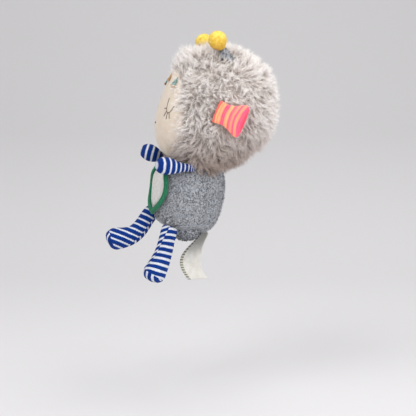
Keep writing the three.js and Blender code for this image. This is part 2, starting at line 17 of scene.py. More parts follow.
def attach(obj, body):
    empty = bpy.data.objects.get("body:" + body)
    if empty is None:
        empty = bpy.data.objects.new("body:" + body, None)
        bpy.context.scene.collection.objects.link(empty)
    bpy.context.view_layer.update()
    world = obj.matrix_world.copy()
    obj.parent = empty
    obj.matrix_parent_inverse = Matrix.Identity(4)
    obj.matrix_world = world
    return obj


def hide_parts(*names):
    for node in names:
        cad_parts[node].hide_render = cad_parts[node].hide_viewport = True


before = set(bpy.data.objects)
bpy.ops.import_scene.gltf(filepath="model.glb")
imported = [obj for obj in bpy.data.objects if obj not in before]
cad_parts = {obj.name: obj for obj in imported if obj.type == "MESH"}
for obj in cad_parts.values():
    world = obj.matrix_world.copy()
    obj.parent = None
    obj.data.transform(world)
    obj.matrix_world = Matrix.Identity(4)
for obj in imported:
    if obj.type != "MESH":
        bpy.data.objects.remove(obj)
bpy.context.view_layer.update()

MM = 0.001
noise.seed_set(5)
scene = bpy.context.scene


def in_scene(name, data):
    """A new object at the origin."""
    made = bpy.data.objects.new(name, data)
    scene.collection.objects.link(made)
    return made


def point_from(place, direction, thing):
    """Stands a camera or a lamp at a place and points it."""
    thing.location = place
    thing.rotation_mode = "QUATERNION"
    thing.rotation_quaternion = direction.to_track_quat("-Z", "Y")


# %% [markdown]
# The camera comes before the pieces. A long lens a metre away sees the toy's left side, a little from the
# front and a little from above.

# %% Camera
CAMERA_PLACE = Vector((0.9398, -0.3230, 0.1229))
CAMERA_ROUND = math.radians(70)
CAMERA_DOWN = math.radians(8.7)
SENSOR = 36.0
PICTURE_SIDE = 416
FOCAL_PIXELS = 1046

camera = in_scene("camera", bpy.data.cameras.new("camera"))
camera.data.sensor_width = SENSOR
camera.data.lens = SENSOR * FOCAL_PIXELS / PICTURE_SIDE
looking = Vector((
    -math.sin(CAMERA_ROUND) * math.cos(CAMERA_DOWN),
    math.cos(CAMERA_ROUND) * math.cos(CAMERA_DOWN),
    -math.sin(CAMERA_DOWN),
))
point_from(CAMERA_PLACE, looking, camera)
scene.camera = camera
scene.view_settings.view_transform = "Standard"
print("camera lens (mm):", round(camera.data.lens, 1))

# %% [markdown]
# A studio for soft toys is mostly big soft light. The world gives an even pale light from all
# sides. One square lamp stands high in front, one above the toy gives the fur its bright upper
# tips, and one beside the camera fills the toy's left side.

# %% Light


def lamp(name, place, aim, size, watts):
    """A square soft lamp that points at a place."""
    light = bpy.data.lights.new(name, "AREA")
    light.size, light.energy = size, watts
    point_from(place, Vector(aim) - Vector(place), in_scene(name, light))


lamp("key", (0.35, -0.75, 1.0), (0, 0, 0.03), 0.7, 6.4)
lamp("top", (0.1, 0.35, 1.05), (0, 0.02, 0.05), 0.8, 4.8)
lamp("fill", (1.05, 0.25, 0.25), (0, 0, 0), 0.8, 5.4)

world = bpy.data.worlds.new("studio")
scene.world = world
world.use_nodes = True
air = world.node_tree.nodes["Background"]
air.inputs["Color"].default_value = (1.0, 0.99, 0.98, 1)
air.inputs["Strength"].default_value = 0.62
print("lamps:", len(bpy.data.lights))

# %% [markdown]
# Materials are built from a few node kinds again and again, so short helpers make them. A node's
# result takes part in ordinary arithmetic, so that a pattern reads like a formula. Colours are
# written as a painter's sRGB hex and turned to the linear values that shaders use.

# %% Material helpers


def linear(code):
    """An sRGB hex colour as the linear RGBA that a socket takes."""
    values = [int(code[i:i + 2], 16) / 255 for i in (1, 3, 5)]
    return tuple(v / 12.92 if v <= 0.04045 else ((v + 0.055) / 1.055) ** 2.4 for v in values) + (1,)


class Value:
    """A node's result, which arithmetic joins to more nodes."""

    def __init__(self, socket):
        self.socket, self.tree = socket, socket.id_data

    def math(self, operation, *others):
        return put(self.tree, "Math", enumerate((self, *others)), operation=operation)

    def __add__(self, other):
        return self.math("ADD", other)

    def __sub__(self, other):
        return self.math("SUBTRACT", other)

    def __mul__(self, other):
        return self.math("MULTIPLY", other)

    def __truediv__(self, other):
        return self.math("DIVIDE", other)

    def between(self, low, high, start=0.0, end=1.0):
        """Goes from start to end while this value goes from low to high."""
        return put(self.tree, "MapRange", enumerate((self, low, high, start, end)))

    def parts(self):
        """A vector's X, Y and Z."""
        return [Value(out) for out in put(self.tree, "SeparateXYZ", [(0, self)]).socket.node.outputs]


def put(tree, kind, links=(), output=0, family="ShaderNode", **settings):
    """Adds a node and gives one of its results. Links are (socket, value) pairs, and settings are
    the node's own properties."""
    made = tree.nodes.new(family + kind)
    for key, value in settings.items():
        setattr(made, key, value)
    for socket, source in links:
        if isinstance(source, Value):
            tree.links.new(source.socket, made.inputs[socket])
        else:
            made.inputs[socket].default_value = source
    return Value(made.outputs[output])


class Cloth:
    """A matt cloth. Its constant values sit on the shader's own sockets."""

    def __init__(self, name, roughness=0.9, sheen=0.0, specular=0.2):
        self.material = bpy.data.materials.new(name)
        self.material.use_nodes = True
        self.tree = self.material.node_tree
        self.sockets = self.tree.nodes["Principled BSDF"].inputs
        self.sockets["Roughness"].default_value = roughness
        self.sockets["Specular IOR Level"].default_value = specular
        self.sockets["Sheen Weight"].default_value = sheen
        self.sockets["Sheen Roughness"].default_value = 0.5

    def place(self):
        """The piece's own coordinates, in metres."""
        return put(self.tree, "TexCoord", output="Object")

    def place_in(self, stand):
        """The piece's coordinates in a frame of its own, in mm."""
        return put(self.tree, "Mapping", [
            ("Vector", self.place()), ("Location", stand.translation),
            ("Rotation", stand.to_euler()), ("Scale", (MM, MM, MM)),
        ], vector_type="TEXTURE")

    def carried(self, name):
        """A value that the mesh's own points carry."""
        return put(self.tree, "Attribute", output="Fac", attribute_name=name)

    def speckle(self, size_mm, detail=2.0, rough=0.5):
        """A noise whose grain is size_mm across."""
        links = [("Scale", 1 / (size_mm * MM)), ("Detail", detail), ("Roughness", rough)]
        return put(self.tree, "TexNoise", [("Vector", self.place()), *links])

    def lines(self, scale, way, distortion=0.0):
        """Fine straight lines across one of the piece's own directions."""
        links = [("Vector", self.place()), ("Scale", scale), ("Distortion", distortion)]
        return put(self.tree, "TexWave", links, "Fac", bands_direction=way)

    def ramp(self, value, *stops):
        """Colours along a value, from (position, hex) pairs."""
        made = put(self.tree, "ValToRGB", [(0, value)])
        elements = made.socket.node.color_ramp.elements
        while len(elements) < len(stops):
            elements.new(0.5)
        for element, (position, code) in zip(elements, stops):
            element.position, element.color = position, linear(code)
        return made

    def blend(self, share, first, second, mode="MIX"):
        """Two colours mixed by a share."""
        links = [(0, share), (6, first), (7, second)]
        return put(self.tree, "Mix", links, 2, data_type="RGBA", blend_type=mode)

    def finish(self, colour, relief=None, depth_mm=0.2):
        """Joins a colour and a relief to the shader and gives the material."""
        self.tree.links.new(colour.socket, self.sockets["Base Color"])
        if relief:
            links = [("Strength", 1.0), ("Distance", depth_mm * MM), ("Height", relief)]
            self.tree.links.new(put(self.tree, "Bump", links).socket, self.sockets["Normal"])
        return self.material


def plain_cloth(name, grain, stops, relief=None, depth_mm=0.2, **settings):
    """A cloth of one colour. Its grain and its relief are (size_mm, detail) of a noise."""
    cloth = Cloth(name, **settings)
    colour = cloth.ramp(cloth.speckle(*grain), *stops)
    return cloth.finish(colour, cloth.speckle(*relief) if relief else None, depth_mm)


# %% [markdown]
# Every piece starts as a bmesh and ends as an object at the origin, with its place in its mesh.
# Round pieces are half outlines that are spun, so the outline is the only thing to draw. A smooth
# line through a few chosen points keeps the outlines short to write and soft to look at.

# %% Shape helpers


def smooth_line(points, steps):
    """A Catmull-Rom line through points, sampled evenly along its parts."""
    ends = [2 * points[0] - points[1], *points, 2 * points[-1] - points[-2]]
    line = []
    for i in range(steps + 1):
        place = i / steps * (len(points) - 1)
        k = min(int(place), len(points) - 2)
        t = place - k
        a, b, c, d = ends[k:k + 4]
        line.append(0.5 * (
            2 * b + (c - a) * t + (2 * a - 5 * b + 4 * c - d) * t ** 2
            + (3 * b - a - 3 * c + d) * t ** 3
        ))
    return line


def face_out(bm):
    bmesh.ops.recalc_face_normals(bm, faces=bm.faces)


def set_at(bm, matrix):
    """Takes a whole bmesh to its place."""
    bmesh.ops.transform(bm, matrix=matrix, verts=bm.verts)


def spun(points, steps, sides):
    """A closed skin from (radius, height) points in mm, turned about Z."""
    outline = smooth_line([Vector((r, 0, z)) for r, z in points], steps)
    outline = [Vector((max(p.x, 0), 0, p.z)) * MM for p in outline]
    outline[0].x = outline[-1].x = 0
    bm = bmesh.new()
    verts = [bm.verts.new(p) for p in outline]
    edges = [bm.edges.new(pair) for pair in zip(verts, verts[1:])]
    bmesh.ops.spin(
        bm, geom=verts + edges, cent=(0, 0, 0), axis=(0, 0, 1),
        angle=2 * math.pi, steps=sides, use_merge=True,
    )
    bmesh.ops.remove_doubles(bm, verts=bm.verts, dist=0.01 * MM)
    face_out(bm)
    return bm


def egg(radii, sides=48, rings=32):
    """A ball stretched to three radii in mm."""
    bm = bmesh.new()
    bmesh.ops.create_uvsphere(bm, u_segments=sides, v_segments=rings, radius=1)
    bmesh.ops.scale(bm, vec=Vector(radii) * MM, verts=bm.verts)
    return bm


def sculpt(bm, move):
    """Passes every point, in mm, through a function that gives its new place."""
    for v in bm.verts:
        v.co = move(v.co / MM) * MM


def limited(value):
    """A value kept between 0 and 1."""
    return max(0, min(1, value))


def to_mesh(name, bm):
    mesh = bpy.data.meshes.new(name)
    bm.to_mesh(mesh)
    bm.free()
    return mesh


def dress(name, mesh, material, body, replaces=None):
    """A finished mesh becomes a piece that rides on a body and may stand for a CAD node."""
    mesh.materials.clear()
    mesh.materials.append(material)
    piece = in_scene(name, mesh)
    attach(piece, body)
    if replaces:
        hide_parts(replaces)
    return piece


def add_piece(name, bm, material, body, replaces=None):
    """A finished bmesh becomes a smooth piece."""
    mesh = to_mesh(name, bm)
    mesh.shade_smooth()
    return dress(name, mesh, material, body, replaces)


def finish_modifiers(piece):
    """Bakes a piece's modifiers into its mesh."""
    graph = bpy.context.evaluated_depsgraph_get()
    finished = bpy.data.meshes.new_from_object(piece.evaluated_get(graph), depsgraph=graph)
    piece.modifiers.clear()
    piece.data = finished
    finished.shade_smooth()


# %% [markdown]
# A stuffed cover is pressed outwards as simulated cloth, with its seams held where they are. The
# closed skin gets an even grid by a voxel remesh before, and is smoothed by one subdivision
# after. On covers this small the pressure is weak: it moves a point by about a tenth of a
# millimetre at most, as the printed lines say. So the drawn outlines decide the shape, and the
# cap on how far a point may move is never reached.

# %% Stuffing
STUFFING_MOMENTS = 20


def stuff(piece, voxel_mm, cap_mm, held):
    """Presses a closed piece outwards as stuffed cloth, a little; held(p) tells which points, in mm,
    are sewn down. A piece without a voxel size keeps its own grid."""
    if voxel_mm:
        even = piece.modifiers.new("even grid", "REMESH")
        even.mode, even.voxel_size = "VOXEL", voxel_mm * MM
        finish_modifiers(piece)
    mesh = piece.data
    seams = piece.vertex_groups.new(name="seams")
    seams.add([v.index for v in mesh.vertices if held(v.co / MM)], 1.0, "REPLACE")
    cover = piece.modifiers.new("stuffing", "CLOTH")
    cover.settings.quality = 6
    cover.settings.mass = 0.02
    cover.settings.use_pressure = True
    cover.settings.uniform_pressure_force = 4
    cover.settings.effector_weights.gravity = 0
    cover.settings.vertex_group_mass = "seams"
    cover.settings.bending_stiffness = 0.1
    for moment in range(1, STUFFING_MOMENTS + 1):
        scene.frame_set(moment)
    graph = bpy.context.evaluated_depsgraph_get()
    swollen = [v.co.copy() for v in piece.evaluated_get(graph).data.vertices]
    piece.modifiers.clear()
    furthest = 0
    for v, new in zip(mesh.vertices, swollen):
        move = new - v.co
        furthest = max(furthest, move.length)
        if move.length > cap_mm * MM:
            move *= cap_mm * MM / move.length
        v.co += move
    scene.frame_set(1)
    piece.vertex_groups.clear()
    print(piece.name, "swelled by up to (mm):", round(furthest / MM, 2))
    smooth = piece.modifiers.new("smooth", "SUBSURF")
    smooth.levels = smooth.render_levels = 1
    finish_modifiers(piece)


# %% [markdown]
# The body is one barrel of short curly pile, sewn from panels and stuffed firm. Its outline is
# spun, and squared very slightly because a sewn barrel keeps a trace of its panels. Then it is
# drawn up at the bottom and slouched a little, as it hangs.

# %% Body skin
BODY_RADIUS, BODY_TOP, BODY_BOTTOM = 34.5, 18.0, -54.0
BODY_SQUARENESS = 2.2
BODY_OUTLINE = [
    (0, BODY_BOTTOM), (0.4, BODY_BOTTOM + 0.8), (0.73, BODY_BOTTOM + 7), (0.91, BODY_BOTTOM + 16),
    (0.98, BODY_BOTTOM + 28), (1, BODY_BOTTOM + 42), (0.985, BODY_TOP - 16), (0.87, BODY_TOP - 9),
    (0.67, BODY_TOP - 2.5), (0.4, BODY_TOP - 0.3), (0, BODY_TOP),
]
PILE_THICK = 1.6
SLOUCH = 2.2


def squared(p):
    """Presses a round plan a little towards a square one."""
    r = math.hypot(p.x, p.y)
    if r < 1e-6:
        return p
    n = BODY_SQUARENESS
    k = (abs(p.x / r) ** n + abs(p.y / r) ** n) ** (-1 / n)
    return Vector((p.x * k, p.y * k, p.z))


def over_seat(p):
    """Whether a place lies over the seat, in front: 1 where it does."""
    return limited((13 - p.y) / 7)


def lifted_bottom(p):
    """Draws the barrel's bottom up in front, where the seat is sewn under it."""
    return Vector((p.x, p.y, p.z - 0.3 * over_seat(p) * min(p.z + 36, 0)))


def slouched(p):
    """Leans the barrel's front: drawn back at the chest, pushed forward at the hips."""
    chest = limited((p.z + 14) / 22) * limited(-p.y / BODY_RADIUS)
    hips = limited((-14 - p.z) / 24)
    narrow = 1 - 0.05 * hips * limited(p.y / 20)
    return Vector((p.x, p.y * narrow + SLOUCH * chest - SLOUCH * hips, p.z))


# The backing is the cloth's real base. Its darker colour is painted shade, so that the gaps between the curls
# read as shade.
body_backing = plain_cloth("body backing", (1.5,), [(0.38, "#686B72"), (0.56, "#AFB2B8")], (1.2,), 0.6)
skin = spun([(r * (BODY_RADIUS - PILE_THICK), z) for r, z in BODY_OUTLINE], 44, 72)
sculpt(skin, lambda p: slouched(lifted_bottom(squared(p))))
torso = add_piece("torso", skin, body_backing, "torso", "body")
stuff(torso, 3.0, 0.8, lambda p: abs(p.y) < 1.6)
print("torso faces:", len(torso.data.polygons))

# %% [markdown]
# The neck is a round of the same cloth that the head turns on. It is hidden by the head's fur.

# %% Neck
NECK_RADIUS, NECK_BACK, NECK_RISE = 12.5, 5.7, 9.0
ball = egg((NECK_RADIUS,) * 3, 32, 20)
bmesh.ops.translate(ball, verts=ball.verts, vec=Vector((0, NECK_BACK, NECK_RISE)) * MM)
neck = add_piece("neck", ball, body_backing, "torso")

# %% [markdown]
# The seat is a small lobe sewn under the barrel, between the legs. Its pile is painted darker, as shade under
# the barrel.

# %% Seat
SEAT_HALF = Vector((17.0, 15.0, 14.0))
SEAT_MIDDLE = Vector((0, -3.0, BODY_BOTTOM + 7))


def fuller_down(p):
    """Swells a ball's upper and lower rounds, so that its sides stand up straighter."""
    down = max(-1, min(1, p.z / SEAT_HALF.z))
    k = min(math.sqrt((1 - down ** 4) / max(1 - down ** 2, 1e-6)), 1.5)
    return Vector((p.x * k, p.y * k, p.z)) + SEAT_MIDDLE


lobe = egg(SEAT_HALF - Vector((1, 1, 1)))
sculpt(lobe, fuller_down)
seat = add_piece("seat_lobe", lobe, body_backing, "torso", "seat")
stuff(seat, 2.4, 0.5, lambda p: abs(p.x) < 1.3)

# %% [markdown]
# Pile and fur are thousands of small locks that stand on a backing. One lock is a handful of flat
# strands, each an edge that is extruded upwards and narrowed. Geometry nodes then set copies on
# the backing, each leaning the way the cloth was brushed there, turned at random and with a tone
# of its own. The copies are made real, so that the coat is an ordinary mesh.

# %% Locks and how they grow


def points_of(geometry):
    """The points in a bmesh operator's result."""
    return [g for g in geometry if isinstance(g, bmesh.types.BMVert)]


def edges_of(geometry):
    return [g for g in geometry if isinstance(g, bmesh.types.BMEdge)]


def lock(name, strands, length, spread, width, bend, steps, gather, seed, wave=0.0):
    """One lock of strands, in mm: its roots lie within spread and gather towards their tips."""
    rng = random.Random(seed)
    bm = bmesh.new()
    tip = bm.verts.layers.float.new("tip")
    beat = rng.uniform(0, 2 * math.pi)
    for _ in range(strands):
        a, r = rng.uniform(0, 2 * math.pi), spread * math.sqrt(rng.random())
        root = Vector((r * math.cos(a), r * math.sin(a), -0.4))
        turn = rng.uniform(0, math.pi)
        side = Vector((math.cos(turn), math.sin(turn), 0)) * width / 2
        tall = length * rng.uniform(0.8, 1.1)
        sway = Vector((bend * rng.uniform(0.6, 1.4), bend * rng.uniform(-0.5, 0.5), 0))
        edge = bm.edges.new([bm.verts.new((root + s) * MM) for s in (-side, side)])
        for step in range(1, steps + 1):
            t = step / steps
            grown = bmesh.ops.extrude_edge_only(bm, edges=[edge])["geom"]
            new = points_of(grown)
            edge = next(e for e in edges_of(grown) if all(v in new for v in e.verts))
            middle = root * (1 - gather * t) + sway * t ** 2
            middle.y += wave * t * (math.sin(6.5 * t + beat) - math.sin(beat))
            middle.z = root.z + tall * t * (1 - 0.15 * t)
            narrow = 1 - 0.8 * t
            for v, s in zip(edge.verts, (-side, side)):
                v.co = (middle + s * narrow) * MM
                v[tip] = t
    return bpy.data.objects.new(name, to_mesh(name, bm))


def grow(name, skin, locks, apart_mm, material, body, seed, wild=0.35, size=(0.8, 1.2)):
    """Sets copies of the locks on a skin whose points carry lay, cover and height."""
    tree = bpy.data.node_groups.new(name, "GeometryNodeTree")
    for way in ("INPUT", "OUTPUT"):
        tree.interface.new_socket("Geometry", in_out=way, socket_type="NodeSocketGeometry")

    def add(kind, links, output=0, family="GeometryNode", **settings):
        return put(tree, kind, links, output, family, **settings)

    def turning(kind, links, **settings):
        return add(kind, links, 0, "FunctionNode", **settings)

    def painted(kind, attribute):
        return add("InputNamedAttribute", [("Name", attribute)], data_type=kind)

    def chance(kind, low, high, part):
        into, out = {"FLOAT_VECTOR": (0, 0), "FLOAT": (2, 1)}[kind]
        links = [(into, low), (into + 1, high), ("Seed", seed * 10 + part)]
        return add("RandomValue", links, out, "FunctionNode", data_type=kind)

    points = add("DistributePointsOnFaces", [
        ("Mesh", add("NodeGroupInput", [], family="")), ("Seed", seed),
        ("Distance Min", apart_mm * MM), ("Density Max", 1.4 / (apart_mm * MM) ** 2),
        ("Density Factor", painted("FLOAT", "cover")),
    ], "Points", distribute_method="POISSON")
    toned = add("StoreNamedAttribute", [
        ("Geometry", points), ("Name", "tone"), ("Value", chance("FLOAT", 0.0, 1.0, 1)),
    ], data_type="FLOAT", domain="POINT")
    lean = turning("AlignRotationToVector", [("Vector", painted("FLOAT_VECTOR", "lay"))], axis="Z")
    spin = turning("EulerToRotation", [
        (0, chance("FLOAT_VECTOR", (-wild, -wild, 0), (wild, wild, 2 * math.pi), 2)),
    ])
    turned = turning("RotateRotation", [("Rotation", lean), ("Rotate By", spin)], rotation_space="LOCAL")
    tall = painted("FLOAT", "height") * chance("FLOAT", *size, 3)
    kinds = add("JoinGeometry", [
        (0, add("ObjectInfo", [("Object", each), ("As Instance", True)], "Geometry")) for each in locks
    ])
    planted = add("InstanceOnPoints", [
        ("Points", toned), ("Instance", kinds), ("Pick Instance", True), ("Rotation", turned), ("Scale", tall),
    ])
    real = add("RealizeInstances", [(0, planted)])
    tree.links.new(real.socket, tree.nodes.new("NodeGroupOutput").inputs[0])

    holder = in_scene(name, skin)
    holder.modifiers.new("grow", "NODES").node_group = tree
    graph = bpy.context.evaluated_depsgraph_get()
    mesh = bpy.data.meshes.new_from_object(holder.evaluated_get(graph), depsgraph=graph)
    bpy.data.objects.remove(holder)
    for spare in ("lay", "cover", "height"):
        if spare in mesh.attributes:
            mesh.attributes.remove(mesh.attributes[spare])
    print(name, "faces:", len(mesh.polygons))
    return dress(name, mesh, material, body)


def brushed(mesh, lay, cover=lambda p, n: 1.0, height=lambda p, n: 1.0):
    """A copy of a skin whose points carry which way, how densely and how tall the coat grows. Its
    points and faces stand in a fixed order, so that the coat grows the same every time."""
    order = sorted(range(len(mesh.vertices)), key=lambda i: tuple(mesh.vertices[i].co))
    places = {old: new for new, old in enumerate(order)}
    faces = []
    for face in mesh.polygons:
        corners = [places[i] for i in face.vertices]
        first = corners.index(min(corners))
        faces.append(corners[first:] + corners[:first])
    skin = bpy.data.meshes.new(mesh.name)
    skin.from_pydata([mesh.vertices[i].co for i in order], [], sorted(faces))
    rules = [
        ("lay", "FLOAT_VECTOR", "vector", lay),
        ("cover", "FLOAT", "value", cover),
        ("height", "FLOAT", "value", height),
    ]
    for name, kind, field, rule in rules:
        layer = skin.attributes.new(name, kind, "POINT")
        for i, v in enumerate(skin.vertices):
            setattr(layer.data[i], field, rule(v.co / MM, v.normal))
    return skin


# %% [markdown]
# The barrel's pile is short and curly: small locks of under two millimetres, with no lay of their own. Each
# curl has a random tone of its own and is painted darker towards its root, as painted shade in the gaps
# between curls; together they make the mottled look. The pile is longer where a limb is sewn in. The seat's
# pile is painted darker all over, and darker still towards the back, as shade under the barrel.

# %% Body pile


def pile_material(name, dark, middle, light, back=None):
    """Short pile: light curls with dark gaps between them. The colour comes from each curl's own random tone
    and from its height, which paints shade darker towards the root. It can turn to a darker colour towards the
    toy's back, which is painted shade."""
    cloth = Cloth(name, roughness=0.95, sheen=0.15)
    # Painted shade: the tip share darkens each curl towards its root, standing in for the shade between curls.
    tone = cloth.carried("tone") * 0.72 + cloth.carried("tip") * 0.3 - 0.1
    tone = tone + cloth.speckle(14, 1.0) * 0.25
    colour = cloth.ramp(tone, (0.08, dark), (0.38, middle), (0.95, light))
    if back:
        # Painted shade: the colour turns to the darker back colour towards the toy's back.
        behind = cloth.place().parts()[1].between(2 * MM, 11 * MM)
        colour = cloth.blend(behind, colour, linear(back))
    return cloth.finish(colour, cloth.speckle(0.8), 0.3)


body_pile = pile_material("body pile", "#4D4F55", "#A3A5AA", "#CBCDD1")
# Painted shade: the seat's pile is darker all over, and its back colour darker still, as shade under the
# barrel.
seat_pile = pile_material("seat pile", "#2C2E33", "#63656A", "#8B8D91", "#47494F")
curls = [lock(f"curl_{k}", 7, 1.8, 0.8, 0.55, 0.9, steps=2, gather=0.35, seed=k) for k in range(4)]
HIPS = {"left": (19.132, -26.333, -45.5), "right": (-22.437, -30.882, -35.0)}
SHOULDERS = {"left": (34.0, -6.8, 12.0), "right": (-34.0, -6.8, 12.0)}
LIMB_ROOTS = [Vector(hip) + Vector((0, 3, 5)) for hip in HIPS.values()]
LIMB_ROOTS += [Vector(shoulder) + Vector((0, 1, 3)) for shoulder in SHOULDERS.values()]


def by_root(p):
    """How near a place is to the upper side of a limb's root: 1 at the root."""
    return max(0, 1 - min((p - root).length for root in LIMB_ROOTS) / 12)


def pile_lay(p, n):
    return (n + 0.35 * noise.noise_vector(p / 4) - Vector((0, 0, 0.9 * by_root(p)))).normalized()


def over_limbs(p, n):
    """The pile is longer over the limbs' roots and shorter beside the seat."""
    below = limited((-n.z - 0.45) / 0.3) * over_seat(p)
    return 1 + 1.6 * by_root(p) - 0.5 * below


def body_cover(p, n):
    """No pile under the belly panel or inside the neck."""
    leaf = abs(p.x) < 16 and -28 < p.z < 12 and p.y < 0
    return 0.0 if leaf or (p.z > 14 and math.hypot(p.x, p.y) < 16) else 1.0


def seat_cover(p, n):
    """No pile on the seat inside the body."""
    return 1.0 if p.z < BODY_BOTTOM + 9 else 0.0


body_skin = brushed(torso.data, pile_lay, body_cover, over_limbs)
grow("torso_pile", body_skin, curls, 1.4, body_pile, "torso", 3)
grow("seat_pile", brushed(seat.data, pile_lay, seat_cover), curls, 1.4, seat_pile, "torso", 4)

# %% [markdown]
# The belly has a pale leaf of smooth cloth with a padded green cord sewn round it. Both follow
# the barrel's front, so a helper gives the place on the front for any X and Z.

# %% Belly
BELLY_HALF, BELLY_TOP, BELLY_TIP = 20.5, 13.0, -30.5
RIM_HALF = Vector((2.4, 2.0))
RIM_LIFT, RIM_SIDES = RIM_HALF.y + 0.6, 10


def body_radius(z):
    line = smooth_line([Vector((r * BODY_RADIUS, 0, h)) for r, h in BODY_OUTLINE], 200)
    for a, b in zip(line, line[1:]):
        if z <= b.z:
            return a.x + (b.x - a.x) * (z - a.z) / max(b.z - a.z, 1e-9)
    return 0.0


body_radii = {z: body_radius(z) for z in range(int(BODY_BOTTOM), int(BODY_TOP) + 1)}


def on_front(x, z, lift):
    """The place on the barrel's front, lifted off along its normal, and the normal."""
    def depth(u, w):
        low = math.floor(w)
        r = body_radii[low] + (body_radii[low + 1] - body_radii[low]) * (w - low)
        return (r ** BODY_SQUARENESS - abs(u) ** BODY_SQUARENESS) ** (1 / BODY_SQUARENESS)
    normal = Vector((
        -(depth(x + 0.5, z) - depth(x - 0.5, z)), -1, -(depth(x, z + 0.5) - depth(x, z - 0.5)),
    )).normalized()
    return slouched(Vector((x, -depth(x, z), z))) + normal * lift, normal


def leaf_line(half, top, tip, count):
    """The leaf's outline as (x, z) points: pointed below, round above."""
    wide = tip + (top - tip) * 0.6
    knots = [
        ((0, tip), (half * 0.5, tip + 5), (half, wide - 15), (half, wide)),
        ((half, wide), (half, wide + 9), (half * 0.6, top), (0, top)),
    ]
    right = []
    for curve in knots:
        right += interpolate_bezier(*(Vector((x, 0, z)) for x, z in curve), count // 4 + 1)[:-1]
    right.append(Vector((0, 0, top)))
    return right[:-1] + [Vector((-p.x, 0, p.z)) for p in reversed(right)][:-1]


def rings_inwards(bm, face, shares):
    """Insets a face step by step, each time by a share of its size, and closes it with a fan."""
    for share in shares:
        bmesh.ops.inset_individual(bm, faces=[face], thickness=0)
        middle = face.calc_center_median()
        bmesh.ops.scale(bm, vec=Vector((1 - share,) * 3), space=Matrix.Translation(-middle), verts=face.verts)
    bmesh.ops.poke(bm, faces=[face])


green_felt = plain_cloth(
    "green felt", (1.2, 3), [(0.3, "#1C5A40"), (0.55, "#277653"), (0.8, "#40946D")],
    (0.5, 4), 0.25, roughness=0.95, sheen=0.1,
)
cord = bmesh.new()
rings = []
outline = leaf_line(BELLY_HALF, BELLY_TOP, BELLY_TIP, 80)
spokes = [Matrix.Rotation(2 * math.pi * k / RIM_SIDES, 3, "Z") @ Vector((1, 0, 0)) for k in range(RIM_SIDES)]
for i, p in enumerate(outline):
    here, normal = on_front(p.x, p.z, RIM_LIFT)
    neighbours = (outline[i - 1], outline[(i + 1) % len(outline)])
    before, after = (on_front(q.x, q.z, RIM_LIFT)[0] for q in neighbours)
    side = (after - before).normalized().cross(normal).normalized()
    ring = [here + side * t.x * RIM_HALF.x + normal * t.y * RIM_HALF.y for t in spokes]
    rings.append([cord.verts.new(q * MM) for q in ring])
for a, b in zip(rings, rings[1:] + rings[:1]):
    edges = []
    for ring in (a, b):
        pairs = zip(ring, ring[1:] + ring[:1])
        edges += [cord.edges.get(pair) or cord.edges.new(pair) for pair in pairs]
    bmesh.ops.bridge_loops(cord, edges=edges)
face_out(cord)
rim = add_piece("belly_cord", cord, green_felt, "torso", "belly_rim")

silver_cloth = plain_cloth(
    "silver cloth", (2.5,), [(0.3, "#C2C0BE"), (0.7, "#DAD8D5")],
    (0.45,), 0.12, roughness=0.55, sheen=0.3, specular=0.4,
)
patch = bmesh.new()
inner = leaf_line(BELLY_HALF - 1.4, BELLY_TOP - 1.6, BELLY_TIP + 3.4, 80)
rings_inwards(patch, patch.faces.new([patch.verts.new(p * MM) for p in inner]), (0.22, 0.28, 0.35, 0.45))
sculpt(patch, lambda p: on_front(p.x, p.z, 1.3)[0])
face_out(patch)
if sum((f.normal.y for f in patch.faces)) > 0:
    bmesh.ops.reverse_faces(patch, faces=patch.faces)
panel = add_piece("belly_patch", patch, silver_cloth, "torso", "belly_panel")
thick = panel.modifiers.new("thickness", "SOLIDIFY")
thick.thickness, thick.offset = 0.7 * MM, -1
print("belly outline points:", len(outline))

# %% [markdown]
# The head is made in a frame of its own, with its middle at the origin, and then turned and
# lifted to its place. The backing of the fur hood is a ball that is cut straight in front, where
# the face is sewn in.

# %% Hood
HEAD_MIDDLE = Vector((0, 28.2, 65.5))
HEAD_TURN = math.radians(-9)
HEAD_RADII = Vector((57.0, 57.5, 58.5))
SCALP = HEAD_RADII - Vector((3.5, 2.5, 3.5))
HOOD_EDGE = 38.0
NAPE_FLATTENING = 0.09
to_head = Matrix.Translation(HEAD_MIDDLE * MM) @ Matrix.Rotation(HEAD_TURN, 4, "Z")
from_head = to_head.inverted()


def cut_flat(bm, y, way):
    """Cuts a skin at a Y in mm, clears what lies that way and closes it again."""
    cut = bmesh.ops.bisect_plane(
        bm, geom=bm.verts[:] + bm.edges[:] + bm.faces[:],
        plane_co=(0, y * MM, 0), plane_no=(0, way, 0), clear_outer=True,
    )
    bmesh.ops.holes_fill(bm, edges=edges_of(cut["geom_cut"]), sides=0)


def drawn_in_nape(p):
    """Draws in the lower back of the head."""
    back, low = max(0, p.y / HEAD_RADII.y), max(0, -p.z / HEAD_RADII.z)
    return p * (1 - NAPE_FLATTENING * 2 * back * low)


def low_front(q):
    """How far a place in the head's frame lies down at the jaw, over the shoulders."""
    return limited((-q.z - 10) / 24) * limited((6 - q.y) / 26)


def full_jaw(p):
    """Fills the hood out below, most of all beside the chin, where it covers the shoulders."""
    beside = limited((-p.y - 2) / 12) * limited((HOOD_EDGE + 2 + p.y) / 14)
    return p - Vector((0, 0, (8 + 7 * beside) * low_front(p)))


# The fur's backing is the cloth's real base. Its darker colour is painted shade, so that the gaps between the
# locks read as shade.
fur_backing = plain_cloth("fur backing", (2.2,), [(0.3, "#A0968F"), (0.7, "#C8BFB9")], (1.2,), 0.8)
hood = egg(SCALP, 72, 48)
sculpt(hood, lambda p: full_jaw(drawn_in_nape(p)))
cut_flat(hood, -HOOD_EDGE, -1)
set_at(hood, to_head)
face_out(hood)
scalp = add_piece("hood", hood, fur_backing, "head", "head")

# %% [markdown]
# The face is a smooth knit dome, fullest towards the chin. Half a ball is bent by the same rule
# as the frame's face: each point sinks by how far it stands out.

